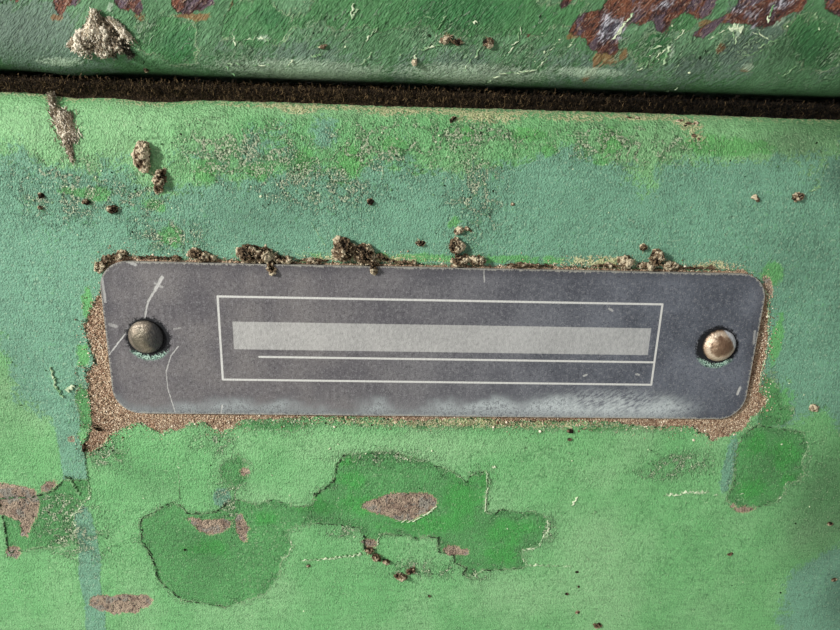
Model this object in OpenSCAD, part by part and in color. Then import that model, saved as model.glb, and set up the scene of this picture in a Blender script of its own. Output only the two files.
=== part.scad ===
// Section of a farm machine's side frame with its identification plate.
// A formed channel rail carries a second, lower channel bolted on top over packing rings,
// and a blank rounded metal plate is held to the rail's face by two fluted drive rivets.
// Front is -Y, X runs along the rails, Z is up, and the section stands on its bottom flange.

/* [Frame rail] */
// Length of the section
rail_len = 300; // [200:1:600]
// Height of the frame rail
rail_h = 152.4; // [120:0.1:250]
// Depth of the frame rail, from its face to the tips of its flanges
rail_d = 76.2; // [60:0.1:120]
// Thickness of the frame rail's steel
rail_t = 4.76; // [3:0.01:6]
// Outer radius of the frame rail's bends
rail_r = 6.35; // [6.35:0.05:12]

/* [Upper rail] */
// Height of the upper rail
upper_h = 63.5; // [45:0.1:120]
// Depth of the upper rail, from its face to the tips of its flanges
upper_d = 63.5; // [55:0.1:76]
// Thickness of the upper rail's steel
upper_t = 3.42; // [2:0.01:5]
// Outer radius of the upper rail's bends
upper_r = 5; // [5:0.05:10]
// Gap between the two rails, filled by the packing rings
seam_gap = 3.2; // [1:0.1:6]

/* [Identification plate] */
// Width of the plate
plate_w = 107.95; // [80:0.05:140]
// Height of the plate
plate_h = 26; // [18:0.1:40]
// Thickness of the plate
plate_t = 0.8; // [0.5:0.05:1.5]
// Radius of the plate's corners
plate_r = 4.4; // [2:0.1:8]
// Height of the rail's top above the plate's centre
plate_drop = 38; // [30:0.1:60]
// Distance of each rivet from its end of the plate
rivet_inset = 6.35; // [5:0.05:12]
// Height of the rivets above the plate's centre
rivet_rise = 0.6; // [-3:0.1:3]

/* [Drive rivets] */
// Diameter of the rivet's domed head
head_d = 5.6; // [5:0.05:8]
// Height of the domed head
head_h = 1.6; // [1:0.1:3]
// Diameter of the hole that the rivet is driven into
rivet_hole_d = 3.2; // [2.6:0.1:4]
// Length of the rivet under its head
rivet_len = 9.5; // [7:0.1:14]
// Number of flutes round the shank
flute_count = 6; // [4:1:8]
// Width of the shallow dish that the driven head leaves in the plate
dish_d = 9; // [8.5:0.1:11]
// Depth of that dish
dish_depth = 0.15; // [0.05:0.01:0.3]

/* [Bolted joint] */
// Diameter of the bolts between the rails
bolt_d = 12.7; // [8:0.1:14]
// Diameter of the bolt holes
bolt_hole_d = 13.5; // [13.5:0.1:15]
// Distance of each bolt from its end of the section
bolt_inset = 50; // [35:1:80]
// Distance of the bolts behind the rails' face
bolt_back = 38; // [32:0.5:42]
// Distance across the flats of bolt heads and nuts
hex_af = 19.05; // [15:0.05:22]
// Height of the bolt head
bolt_head_h = 7.9; // [5:0.1:10]
// Height of the nut
nut_h = 11.1; // [6:0.1:13]
// Length of bolt that stands out of the nut
bolt_end = 4; // [2:0.1:8]
// Diameter of the plain washers
washer_d = 27; // [24:0.1:34]
// Thickness of the plain washers
washer_t = 2.4; // [1.5:0.1:3.5]
// Diameter of the packing rings between the rails
packer_d = 38; // [28:0.5:44]

/* [Base holes] */
// Diameter of the mounting holes in the bottom flange
base_hole_d = 13.5; // [8:0.1:18]
// Distance of each mounting hole from its end of the section
base_hole_inset = 30; // [20:1:60]

/* [Hidden] */

green = [0.24, 0.47, 0.30];
dark_green = [0.16, 0.38, 0.22];
plate_black = [0.20, 0.20, 0.22];
rivet_bronze = [0.45, 0.38, 0.30];
zinc = [0.55, 0.56, 0.55];
rusty = [0.38, 0.25, 0.18];

fine = 96;          // facets of what is seen as round
cut = 1;            // how far a cutting tool runs past what it cuts
thread_gap = 0.05;  // radial room between bolt and nut
flute_gap = 0.02;   // radial room between flutes and hole
flute_depth = 0.3;  // depth of a flute
flute_turn = 70;    // turn of the flutes over their length, in degrees
neck_len = 0.6;     // plain stretch under the rivet's head
pilot_len = 2.4;    // plain tip of the rivet
pilot_d = rivet_hole_d - 2 * flute_depth;
head_rim = 0.3;     // straight rim at the foot of the domed head
hex_chamfer = 0.12; // share of the flats' width taken off a hexagon's corners
end_chamfer = 1;    // chamfer at a bolt's end

left = -1;
right = 1;
rivet_proud = plate_t - dish_depth + head_h;
face_y = (rivet_proud - max(rail_d, upper_d)) / 2;
upper_z = rail_h + seam_gap;
plate_z = rail_h - plate_drop;
rivet_x = plate_w / 2 - rivet_inset;
rivet_z = plate_z + rivet_rise;
bolt_x = rail_len / 2 - bolt_inset;
bolt_y = face_y + bolt_back;
base_hole_x = rail_len / 2 - base_hole_inset;
base_hole_y = face_y + rail_d / 2;

// Section of a formed channel, its face on the vertical axis and its flanges to the right
module channel_section(h, d, t, r) {
    difference() {
        rounded_face(h, d, r);
        translate([t, t]) rounded_face(h - 2 * t, d, r - t);
    }
}

// Rectangle whose two left corners are round
module rounded_face(h, d, r) {
    translate([r, 0]) square([d - r, h]);
    translate([0, r]) square([d, h - 2 * r]);
    for (y = [r, h - r]) translate([r, y]) circle(r, $fn = fine);
}

// Channel along X with its face at face_y and its bottom at z
module channel(z, h, d, t, r) {
    translate([-rail_len / 2, face_y, z])
        rotate([90, 0, 90])
            linear_extrude(rail_len) channel_section(h, d, t, r);
}

// Upright hole for a bolt through a flange of thickness t whose underside is at z
module flange_hole(x, y, z, t, d) {
    translate([x, y, z - cut]) cylinder(h = t + 2 * cut, d = d, $fn = fine);
}

module frame_rail() {
    color(green) difference() {
        channel(0, rail_h, rail_d, rail_t, rail_r);
        for (side = [left, right]) {
            flange_hole(side * bolt_x, bolt_y, rail_h - rail_t, rail_t, bolt_hole_d);
            flange_hole(side * base_hole_x, base_hole_y, 0, rail_t, base_hole_d);
            rivet_hole(side, face_y, rail_t);
        }
    }
}

module upper_rail() {
    color(dark_green) difference() {
        channel(upper_z, upper_h, upper_d, upper_t, upper_r);
        for (side = [left, right])
            flange_hole(side * bolt_x, bolt_y, upper_z, upper_t, bolt_hole_d);
    }
}

// Hole for a drive rivet through a sheet of thickness t whose front is at y
module rivet_hole(side, y, t) {
    translate([side * rivet_x, y - cut, rivet_z])
        rotate([-90, 0, 0]) cylinder(h = t + 2 * cut, d = rivet_hole_d, $fn = fine);
}

module id_plate() {
    front_y = face_y - plate_t;
    color(plate_black) difference() {
        translate([0, face_y, plate_z]) rotate([90, 0, 0]) linear_extrude(plate_t) {
            square([plate_w - 2 * plate_r, plate_h], center = true);
            square([plate_w, plate_h - 2 * plate_r], center = true);
            for (x = [left, right], z = [left, right])
                translate([x * (plate_w / 2 - plate_r), z * (plate_h / 2 - plate_r)])
                    circle(plate_r, $fn = fine);
        }
        for (side = [left, right]) {
            rivet_hole(side, front_y, plate_t);
            translate([side * rivet_x, front_y, rivet_z]) rotate([-90, 0, 0])
                cylinder(h = dish_depth, d1 = dish_d, d2 = head_d, $fn = fine);
        }
    }
}

// Drive rivet: domed head in front, fluted shank and plain pilot behind, along +Y
module drive_rivet(side) {
    color(rivet_bronze)
        translate([side * rivet_x, face_y - plate_t + dish_depth, rivet_z])
            rotate([-90, 0, 0]) {
                dome();
                cylinder(h = rivet_len, d = pilot_d, $fn = fine);
                cylinder(h = neck_len, d = rivet_hole_d - 2 * flute_gap, $fn = fine);
                translate([0, 0, neck_len]) flutes(rivet_len - neck_len - pilot_len);
            }
}

// Spherical cap over a short straight rim, its foot at z = 0 and its crown at -head_h
module dome() {
    cap_h = head_h - head_rim;
    cap_r = (pow(cap_h, 2) + pow(head_d / 2, 2)) / (2 * cap_h);
    translate([0, 0, -head_rim]) cylinder(h = head_rim, d = head_d, $fn = fine);
    intersection() {
        translate([0, 0, cap_r - head_h]) sphere(cap_r, $fn = fine);
        translate([0, 0, -head_h]) cylinder(h = cap_h, d = head_d + cut, $fn = fine);
    }
}

// Twisted flutes that grip the hole
module flutes(h) {
    crest = rivet_hole_d / 2 - flute_gap;
    points = [for (i = [0 : 2 * flute_count - 1])
        let (r = i % 2 == 0 ? crest : crest - flute_depth, a = 180 * i / flute_count)
            [r * cos(a), r * sin(a)]];
    linear_extrude(h, twist = flute_turn, slices = 6) polygon(points);
}

// Flat ring of thickness t standing on z over a bolt
module ring(side, z, t, d) {
    translate([side * bolt_x, bolt_y, z]) difference() {
        cylinder(h = t, d = d, $fn = fine);
        translate([0, 0, -cut]) cylinder(h = t + 2 * cut, d = bolt_hole_d, $fn = fine);
    }
}

module packer(side) {
    color(rusty) ring(side, rail_h, seam_gap, packer_d);
}

module washer_top(side) {
    color(zinc) ring(side, upper_z + upper_t, washer_t, washer_d);
}

module washer_under(side) {
    color(zinc) ring(side, rail_h - rail_t - washer_t, washer_t, washer_d);
}

// Hexagonal prism whose corners are chamfered at its far end, or at both ends
module hexagon(h, both) {
    across = hex_af / cos(30);
    c = hex_af * hex_chamfer;
    intersection() {
        cylinder(h = h, d = across, $fn = 6);
        union() {
            translate([0, 0, h - c]) cylinder(h = c, d1 = across + c, d2 = across - 2 * c, $fn = fine);
            translate([0, 0, both ? c : 0])
                cylinder(h = h - (both ? 2 : 1) * c, d = across + c, $fn = fine);
            if (both) cylinder(h = c, d1 = across - 2 * c, d2 = across + c, $fn = fine);
        }
    }
}

module bolt(side) {
    head_z = upper_z + upper_t + washer_t;
    tip_z = rail_h - rail_t - washer_t - nut_h - bolt_end;
    color(zinc) translate([side * bolt_x, bolt_y, 0]) {
        translate([0, 0, head_z]) hexagon(bolt_head_h, false);
        translate([0, 0, tip_z + end_chamfer])
            cylinder(h = head_z - tip_z - end_chamfer, d = bolt_d, $fn = fine);
        translate([0, 0, tip_z])
            cylinder(h = end_chamfer, d1 = bolt_d - 2 * end_chamfer, d2 = bolt_d, $fn = fine);
    }
}

module nut(side) {
    color(zinc) translate([side * bolt_x, bolt_y, rail_h - rail_t - washer_t - nut_h])
        difference() {
            hexagon(nut_h, true);
            translate([0, 0, -cut])
                cylinder(h = nut_h + 2 * cut, d = bolt_d + 2 * thread_gap, $fn = fine);
        }
}

frame_rail();
upper_rail();
id_plate();
drive_rivet(left);  // rivet_left
drive_rivet(right);  // rivet_right
packer(left);  // packer_left
packer(right);  // packer_right
bolt(left);  // bolt_left
bolt(right);  // bolt_right
washer_top(left);  // washer_top_left
washer_top(right);  // washer_top_right
washer_under(left);  // washer_under_left
washer_under(right);  // washer_under_right
nut(left);  // nut_left
nut(right);  // nut_right
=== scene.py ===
"""Finish of a machine frame rail section: paint, rust, dirt, the riveted plate and its hardware."""
import math

import bmesh
import bpy
import numpy as np
from mathutils import Matrix, Vector


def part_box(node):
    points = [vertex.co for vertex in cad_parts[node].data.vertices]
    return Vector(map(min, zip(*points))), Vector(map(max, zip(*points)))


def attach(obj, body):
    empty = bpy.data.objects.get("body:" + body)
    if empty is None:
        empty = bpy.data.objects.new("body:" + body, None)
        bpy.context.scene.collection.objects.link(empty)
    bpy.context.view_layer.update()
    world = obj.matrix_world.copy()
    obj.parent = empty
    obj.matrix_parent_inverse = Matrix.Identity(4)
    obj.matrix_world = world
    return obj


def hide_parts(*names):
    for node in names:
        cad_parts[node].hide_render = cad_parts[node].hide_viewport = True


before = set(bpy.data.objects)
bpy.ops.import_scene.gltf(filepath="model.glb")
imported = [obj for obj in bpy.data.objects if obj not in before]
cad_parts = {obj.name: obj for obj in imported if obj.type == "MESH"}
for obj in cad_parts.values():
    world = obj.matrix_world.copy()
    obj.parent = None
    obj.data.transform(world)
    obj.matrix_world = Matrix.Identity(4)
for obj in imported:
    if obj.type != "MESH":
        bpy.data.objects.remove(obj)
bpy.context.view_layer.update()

# Viewpoint
# The eye is a hand's breadth in front of the plate, a little above its middle and to the left,
# and looks down at it by 16 degrees. Places are in millimetres from the middle of the plate's face.
MM = 0.001
plate_low, plate_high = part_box("id_plate")
PLATE_Z = (plate_low.z + plate_high.z) / 2
EYE = Vector((-7.6, -98.9, 33.8))
EYE_RIGHT = Vector((0.99892, -0.03677, 0.02825))
EYE_UP = Vector((-0.01685, 0.27965, 0.95995))
EYE_AHEAD = Vector((0.04319, 0.95940, -0.27873))

camera_data = bpy.data.cameras.new("eye")
camera_data.sensor_width = 36
camera_data.lens = 27
camera_data.clip_start = 5 * MM
camera_data.clip_end = 20
camera = bpy.data.objects.new("eye", camera_data)
bpy.context.scene.collection.objects.link(camera)
turn = Matrix((EYE_RIGHT, EYE_UP, -EYE_AHEAD)).transposed().to_4x4()
camera.matrix_world = Matrix.Translation(Vector((0, plate_low.y, PLATE_Z)) + EYE * MM) @ turn
bpy.context.scene.camera = camera
bpy.context.scene.view_settings.view_transform = "Standard"

# Light and floor
# One small lamp at the front left stands for a low sun that rakes over the face. Its beam is
# narrow, so that it doesn't bleach the floor, which is a plain pale sheet. A pale surround fills in.
LAMP_PLACE = Vector((-0.5, -0.38, 0.33))
LAMP_AIM = Vector((-0.02, plate_low.y, PLATE_Z))
lamp_data = bpy.data.lights.new("key", "AREA")
lamp_data.shape = "DISK"
lamp_data.size = 0.08
lamp_data.spread = math.radians(80)
lamp_data.energy = 0.93
lamp = bpy.data.objects.new("key", lamp_data)
bpy.context.scene.collection.objects.link(lamp)
lamp.location = LAMP_PLACE
lamp.rotation_euler = (LAMP_AIM - LAMP_PLACE).to_track_quat("-Z", "Y").to_euler()

world = bpy.data.worlds.new("surround")
bpy.context.scene.world = world
world.use_nodes = True
surround = world.node_tree.nodes["Background"]
surround.inputs["Color"].default_value = (0.97, 0.98, 1.0, 1)
surround.inputs["Strength"].default_value = 0.34


def new_finish(name):
    """A new material, with its node tree and its main shader."""
    finish = bpy.data.materials.new(name)
    finish.use_nodes = True
    return finish, finish.node_tree, finish.node_tree.nodes["Principled BSDF"]


bpy.ops.mesh.primitive_grid_add(x_subdivisions=4, y_subdivisions=4, size=6)
floor = bpy.context.object
floor.name = "floor"
floor_finish, _, floor_shader = new_finish("pale_floor")
floor_shader.inputs["Base Color"].default_value = (0.78, 0.78, 0.77, 1)
floor_shader.inputs["Roughness"].default_value = 0.8
floor.data.materials.append(floor_finish)


# Frame rail
# The lower channel is bent from one steel sheet, primed and painted green. Sun has turned the
# top coat chalky, and it has flaked down to the older coat, and in places to rust and bare steel.
FINE_HALF = 86            # half length of the finely meshed stretch, mm
FINE_STEP = 0.8           # its mesh spacing, mm
COARSE_STEP = 4           # mesh spacing elsewhere, mm
BEND_ROOM = (8, 7)        # rows stay so far inside the lower and the upper bend, mm
SKIN_DEPTH = 1.5          # what lies no further behind the face is its outer skin, mm
BEND_FOOT = 31.6          # height where the top bend begins, mm
OUTSIDE = -6.0            # stands for well outside an outline, mm
SMOOTH_BELOW = math.radians(32)
rail_low, rail_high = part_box("frame_rail")
FACE_Y = (rail_low.y - plate_low.y) / MM
RAIL_TOP = (rail_high.z - PLATE_Z) / MM


def points_of(mesh):
    """The mesh's points, one row of x, y and z each."""
    flat = np.empty(len(mesh.vertices) * 3)
    mesh.vertices.foreach_get("co", flat)
    return flat.reshape(-1, 3)


def set_points(mesh, points):
    """Puts the mesh's points at the places in the rows."""
    mesh.vertices.foreach_set("co", points.ravel())
    mesh.update()


def places(mesh):
    """The mesh's points as x, y and z in millimetres from the middle of the plate's face."""
    return ((points_of(mesh) - (0, plate_low.y, PLATE_Z)) / MM).T


def move_points(mesh, x, y, z):
    """Puts the mesh's points at places given in millimetres from the middle of the plate's face."""
    set_points(mesh, np.stack([x, y, z], 1) * MM + (0, plate_low.y, PLATE_Z))


def cut_fine(name, node, fine_low, fine_high):
    """A copy of a rail, cut into small faces where it shows best, between two heights in mm."""
    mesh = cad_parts[node].data.copy()
    mesh.materials.clear()
    piece = bpy.data.objects.new(name, mesh)
    bpy.context.scene.collection.objects.link(piece)
    bpy.ops.object.select_all(action="DESELECT")
    piece.select_set(True)
    bpy.context.view_layer.objects.active = piece
    bpy.ops.mesh.customdata_custom_splitnormals_clear()
    low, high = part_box(node)
    bpy.ops.object.mode_set(mode="EDIT")
    bpy.ops.mesh.select_mode(type="FACE")
    bpy.ops.mesh.select_all(action="SELECT")
    bpy.ops.mesh.remove_doubles(threshold=1e-6)
    bpy.ops.mesh.dissolve_limited(angle_limit=math.radians(0.3))
    coarse_rows = np.arange((low.z - PLATE_Z) / MM + BEND_ROOM[0], (high.z - PLATE_Z) / MM - BEND_ROOM[1],
                            COARSE_STEP)
    coarse_rows = coarse_rows[(coarse_rows < fine_low) | (coarse_rows > fine_high)]
    for row in (*coarse_rows, *np.arange(fine_low, fine_high, FINE_STEP)):
        edit = bmesh.from_edit_mesh(mesh)
        for face in edit.faces:
            face.select_set(face.normal.y < -0.99 and face.calc_center_bounds().y < low.y + 1e-5)
        bmesh.update_edit_mesh(mesh)
        bpy.ops.mesh.bisect(plane_co=(0, 0, PLATE_Z + row * MM), plane_no=(0, 0, 1), threshold=1e-7)
    side = np.arange(FINE_HALF, high.x / MM - 1, COARSE_STEP)
    for column in (*-side[::-1], *np.arange(-FINE_HALF, FINE_HALF, FINE_STEP)[1:], *side):
        bpy.ops.mesh.select_all(action="SELECT")
        bpy.ops.mesh.bisect(plane_co=(column * MM, 0, 0), plane_no=(1, 0, 0), threshold=1e-7)
    bpy.ops.object.mode_set(mode="OBJECT")
    return piece


def waves(x, z, size, seed, layers=2):
    """Smooth random values, about -1 to 1, that change over so many millimetres."""
    total = np.zeros(x.shape)
    for layer in range(layers):
        lattice = np.random.default_rng(seed + layer).uniform(-1, 1, (256, 256))
        across, up = x * 2 ** layer / size + 100.3, z * 2 ** layer / size + 100.7
        column, row = np.floor(across).astype(int), np.floor(up).astype(int)
        across, up = across - column, up - row
        across, up = across * across * (3 - 2 * across), up * up * (3 - 2 * up)
        column, row = column % 255, row % 255
        low = lattice[row, column] * (1 - across) + lattice[row, column + 1] * across
        high = lattice[row + 1, column] * (1 - across) + lattice[row + 1, column + 1] * across
        total += (low * (1 - up) + high * up) * 0.6 ** layer
    return total


def from_ovals(x, z, table):
    """For each oval of a table, how many half sizes each place lies along and across from its
    middle, and the smaller half size. Columns: x, z, half width, half height, tilt in degrees."""
    for oval_x, oval_z, half_w, half_h, tilt in table:
        cos, sin = math.cos(math.radians(tilt)), math.sin(math.radians(tilt))
        along = (x - oval_x) * cos + (z - oval_z) * sin
        across = (z - oval_z) * cos - (x - oval_x) * sin
        yield along / half_w, across / half_h, min(half_w, half_h)


def ovals(x, z, table):
    """How far inside the nearest oval of the table each place lies, in mm, negative outside."""
    inside = np.full(x.shape, -40.0)
    for along, across, smaller in from_ovals(x, z, table):
        inside = np.maximum(inside, (1 - np.hypot(along, across)) * smaller)
    return inside


def cloud(x, z, table):
    """A soft amount from 0 to 1 that fades out towards each oval's edge."""
    amount = np.zeros(x.shape)
    for along, across, _ in from_ovals(x, z, table):
        amount = np.maximum(amount, np.exp(-1.5 * (along ** 2 + across ** 2)))
    return amount


def outline(x, z, corners):
    """How far inside a closed outline each place lies, in mm, negative outside."""
    gap, inside = np.full(x.shape, 1e9), np.zeros(x.shape, bool)
    for (x0, z0), (x1, z1) in zip(corners, corners[1:] + corners[:1]):
        run_x, run_z = x1 - x0, z1 - z0
        share = ((x - x0) * run_x + (z - z0) * run_z) / (run_x ** 2 + run_z ** 2)
        share = np.clip(share, 0, 1)
        gap = np.minimum(gap, np.hypot(x - x0 - share * run_x, z - z0 - share * run_z))
        crosses = (z0 > z) != (z1 > z)
        inside ^= crosses & (x < x0 + (z - z0) * run_x / (run_z if run_z else 1e-9))
    return np.where(inside, gap, -gap)


def outlines(x, z, shapes):
    """How far inside the nearest of several closed outlines each place lies, in mm."""
    return np.maximum.reduce([outline(x, z, corners) for corners in shapes])


def lay(mesh, **fields):
    """Stores each field as a point attribute that the finish reads."""
    for key, values in fields.items():
        layer = mesh.attributes.new(key, "FLOAT", "POINT")
        layer.data.foreach_set("value", values.astype(np.float32))


# Where the green coat is chalky. Columns here and below: x, z, half width, half height, tilt.
CHALKY = [
    (-66, 14, 26, 15, 0), (-60, -2, 12, 14, 0), (-30, 13, 24, 13, 0), (-6, 13, 20, 16, 0),
    (18, 14, 20, 18, 0), (48, 14, 22, 18, 0), (70, 10, 16, 24, 0), (64, -2, 7.5, 13, 0),
    (80, -52, 12, 13, 0), (-29.8, 30.2, 2.8, 1.8, 0), (-24.4, 30.8, 2.8, 1.6, 0), (-17.6, 32.4, 1.8, 2.4, 0),
    (-16.4, 27.3, 2.8, 2, 0), (-35.4, 28.8, 3, 2.2, 0), (-6.9, 29.8, 1.8, 2.4, 0),
]
# Chalky places with a sharp edge.
CHALK_STRIP = [(-63.9, -31.4), (-61.6, -31), (-60.6, -32.6), (-60.1, -37), (-59.9, -42), (-60.6, -47),
               (-60.2, -53), (-61, -60), (-64.6, -60), (-64, -52), (-64.4, -45), (-63.2, -40),
               (-63.8, -35)]
CHALK_BAND = [(-65, -8), (-60.6, -9), (-60.9, -18), (-60.2, -21), (-60.3, -26.2), (-64.6, -26.2),
              (-64.6, -18)]
CHALK_SPOTS = [
    (-37.4, -29.6, 1.6, 2.4, 10), (-36.6, -40.3, 1.4, 1.0, 0), (-26, -31.6, 1.2, 1.0, 0),
    (61.3, -20.8, 1.2, 2.0, -15), (53.6, -22.5, 1.0, 5.0, 0), (-33, -31, 1.0, 0.6, 0),
    (65.5, -20, 1.6, 3.2, 0),
]
# Outlines of the large places where it has come off, down to an older and greener coat.
BIG_FLAKE = [
    (-46.5, -30.6), (-44.6, -31.4), (-43.9, -32.8), (-41, -32.9), (-38.5, -32.5), (-36.6, -30.8),
    (-34.2, -30), (-31, -31), (-28.5, -30), (-24, -31.4), (-21.4, -31), (-21, -28.8),
    (-19.3, -27.6), (-17.4, -26), (-17, -23), (-15.8, -21), (-12, -20.7), (-8, -20.3),
    (-4, -21.5), (-1, -22.4), (2, -23.7), (4.6, -24.9), (6, -26.5), (7, -24.5), (9.6, -24.1),
    (10.3, -26), (9.7, -29), (9.9, -32.3), (11.5, -33), (12.8, -31.8), (16, -32.5), (18.5, -32.1),
    (20.5, -32.8), (21.8, -34.5), (21.4, -37.2), (20.5, -39.5), (18.5, -40.1), (16.7, -40.7),
    (17.6, -42.4), (18.3, -44.2), (14, -44.7), (10, -44.9), (8.2, -46.6), (6.3, -46),
    (7, -44.5), (4.7, -43.3), (4.5, -41.6), (1.7, -40.8), (1.4, -37.8), (-0.5, -37.5),
    (-2.5, -38.3), (-4, -37.1), (-6.5, -37.5), (-8.8, -36.9), (-9.6, -38), (-9.9, -40.2),
    (-12, -40.6), (-12.2, -37.5), (-13.2, -35.7), (-17, -35.1), (-21, -34.8), (-25, -35.6),
    (-26.3, -36.6), (-25.4, -39), (-26, -41.2), (-27.4, -42.4), (-28, -46), (-31, -50),
    (-38, -53), (-46, -51.5), (-50, -47), (-50.6, -42.6), (-51.4, -40.6), (-52.4, -38.8),
    (-51.8, -36.8), (-52.3, -35), (-51.6, -33.9), (-49.8, -33), (-48, -31.5),
]
SIDE_FLAKE = [
    (55, -16.5), (57.5, -14.6), (62, -15.2), (66, -15.8), (67.6, -18.4), (66.9, -21.8),
    (67.9, -24.4), (66.3, -25.9), (64.8, -25.8), (65, -28.4), (63.4, -30.3), (60, -31.1),
    (57, -31), (54.6, -29.6), (55.2, -25), (54.4, -21),
]
LEFT_FLAKE = [
    (-76, -30), (-70, -29.6), (-66.4, -28.4), (-64.6, -26.4), (-60.3, -26.2), (-60.4, -29.4),
    (-62.2, -31.4), (-63.6, -33), (-63.8, -37), (-65.4, -39.6), (-70, -40), (-76, -41),
]
LARGE_FLAKES = (BIG_FLAKE, SIDE_FLAKE, LEFT_FLAKE)
FLAKED = [
    (-35, -24.4, 2.6, 3.0, 0), (-54.4, -21.4, 1.0, 1.0, 0), (-59.3, -13, 1.0, 4.0, 0),
    (-30, -15.4, 12, 0.8, 0), (24, -15.2, 16, 0.5, 0), (58.9, -9, 1.6, 3.6, 0),
    (61, -12.6, 2.6, 1.6, 0), (112, 8, 9, 5, 30), (119, -1, 5, 10, 15), (-108, -22, 11, 5, -15),
    (-98, -28, 8, 4, 30), (98, -62, 14, 4.4, 12), (109, -69, 5, 8, -25), (-96, -80, 12, 5, -20),
    (-105, -72, 5, 8, 10), (-20, -84, 17, 3.6, 6), (-9, -79, 6, 5, 30), (40, -92, 12, 4.4, -12),
    (33, -87, 5, 6, 0), (-60, 62, 14, 6, 0), (70, 70, 16, 8, 0),
]
# Soft-edged places where the green is fresh and bright.
FRESH = [
    (-28.8, 27.2, 2.4, 1.8, -30), (-21.8, 29.4, 2.2, 3.0, 0), (-14.4, 29.4, 2.8, 3.4, 0),
    (-53, 23.4, 3.4, 1.6, 0), (-44.5, 21.8, 2.4, 1.5, 0), (1.8, 20.2, 1.8, 1.1, 30), (-57, 23.6, 3, 1, 0),
    (24.3, 30.2, 1.8, 0.9, 0), (25.5, 33.2, 2.6, 2.4, 0), (12.4, 34, 4, 1.2, 0), (16, 31.6, 2, 1.2, 0),
    (-36, 27, 2.4, 3, 0), (-42.5, 17, 2.4, 2.4, 0), (44, 33, 10, 2, 0), (-8, 31.8, 3, 1.4, 0),
    (3, 33.8, 2.6, 1.2, 0), (-56.6, 6, 1.2, 4, 0), (-58.6, -3, 1.4, 3, 0),
    (57.9, 1, 1.2, 6, 0), (60, -10, 5, 4, 0), (6, 14.4, 44, 0.8, 0), (55, 13, 3, 2.5, -40),
]
# Where painted shade and dirt darken it: its right side, away from the lamp, and the edge along the seam.
GRIMY = [
    (61, 36, 14, 5, 0), (66, 30, 9, 7, 0), (74, -30, 12, 20, 0), (76, 14, 12, 16, 0),
    (84, -50, 10, 12, 0), (-20, 38.6, 60, 0.6, 0), (56, 34, 10, 4, 0),
]
# Where painted shade and dirt only dull it, by less than half as much.
DULL = [
    (-42, -41, 9, 9, 0), (-20, -32, 6, 3, 0), (60, 15, 12, 12, 0), (62, -22, 7, 8, 0),
    (48, 8, 20, 6, 0), (-72, -10, 8, 20, 0), (-30, 20, 16, 5, 0), (-50, -26, 8, 6, 0),
]
# Where the sun has bleached it.
PALE = [
    (-64, 33, 12, 6, 0), (-46, 36, 14, 3, 0), (32, -42, 10, 10, 0), (0, -19, 24, 3, 0),
    (18, -50, 20, 8, 0), (-22, 36.5, 14, 1.5, 0),
]
# Where the coat underneath shows at its deepest green.
DEEP = [
    (-20, -31.6, 4.4, 2.6, 0), (-13, -30.6, 6, 3, 0), (5, -29, 5, 6, 0), (0, -34.6, 9, 3, 0),
    (14, -36, 6.6, 3.6, 0), (14, -41.6, 4, 3, 0), (9.4, -26, 1.4, 2.6, 0), (-41, -40, 5, 2.5, 0),
    (-15, -22.4, 2, 1.4, 0), (-14.5, -26, 3, 3, 0), (63.5, -20, 4, 4.5, 0), (58, -18, 2.6, 3, 0),
    (65, -25, 2, 2, 0), (-30, -34, 3, 2, 0), (58.6, -27, 4, 3, 0),
]
# Rust that has come through.
RUST_OUTLINES = [
    [(-12.8, -30.9), (-11.4, -30.2), (-9.6, -29.6), (-7.2, -28.6), (-3.5, -28.5), (-0.7, -28.6),
     (0.8, -29.8), (1.0, -31), (-0.1, -32.5), (-2, -33.2), (-3.6, -34.4), (-6, -34.2),
     (-7.6, -33.4), (-10.4, -32.6), (-12.4, -31.7)],
    [(-44.4, -33.7), (-42.6, -33.9), (-40.4, -34.3), (-37.6, -33.8), (-36, -34.6), (-36.6, -36),
     (-38.2, -37), (-40.2, -37.4), (-42, -36.4), (-43.2, -34.8)],
    [(-35.3, -33.2), (-34, -32.8), (-33.6, -34.6), (-32.7, -35.6), (-33.4, -37), (-33, -38.6),
     (-34.4, -38.6), (-35.2, -36.6)],
    [(-77, -26.6), (-72, -27.4), (-69.8, -28.2), (-69.2, -30.4), (-69.8, -33), (-71.6, -36),
     (-72.6, -38.4), (-73.4, -37.4), (-73.2, -34.8), (-75, -33.6), (-78, -33)],
    [(-62.6, -50.6), (-60.4, -50), (-58.6, -50.6), (-56.6, -49.8), (-54.4, -50.4), (-53, -50),
     (-51.4, -51.2), (-51.8, -52.6), (-53.6, -53.2), (-54.6, -54.4), (-57, -54), (-58.4, -54.8),
     (-60.2, -53.6), (-61.4, -53.8), (-63, -52.4)],
    [(54.8, -29.9), (56.6, -30.9), (60.4, -31.2), (59.6, -32), (57, -32.2), (55.4, -31.2)],
]
RUSTED = [
    (-67.2, -27.6, 1.7, 0.8, 28), (-11, -39, 1.4, 1.0, 0), (4.2, -40.5, 1.3, 1.0, 0),
    (6.4, -40.9, 0.9, 0.6, 0), (-33, -24.4, 0.8, 0.7, 0), (-75, -41, 1.3, 1.2, 0),
    (-62.2, -18.4, 0.4, 0.4, 0), (54.4, 11, 0.7, 1.8, 20),
    (119, 2, 2.4, 5, 15), (115, 8, 3, 1.6, 30), (-112, -21, 4.4, 1.8, -15), (106, -66, 3, 3.4, 20),
    (94, -62, 2.6, 1, 12), (-28, -85, 5, 1.4, 6), (-102, -75, 2.4, 3.4, 0),
    (-62, 62, 6, 3, 0), (72, 70, 7, 3, 0),
]
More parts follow.
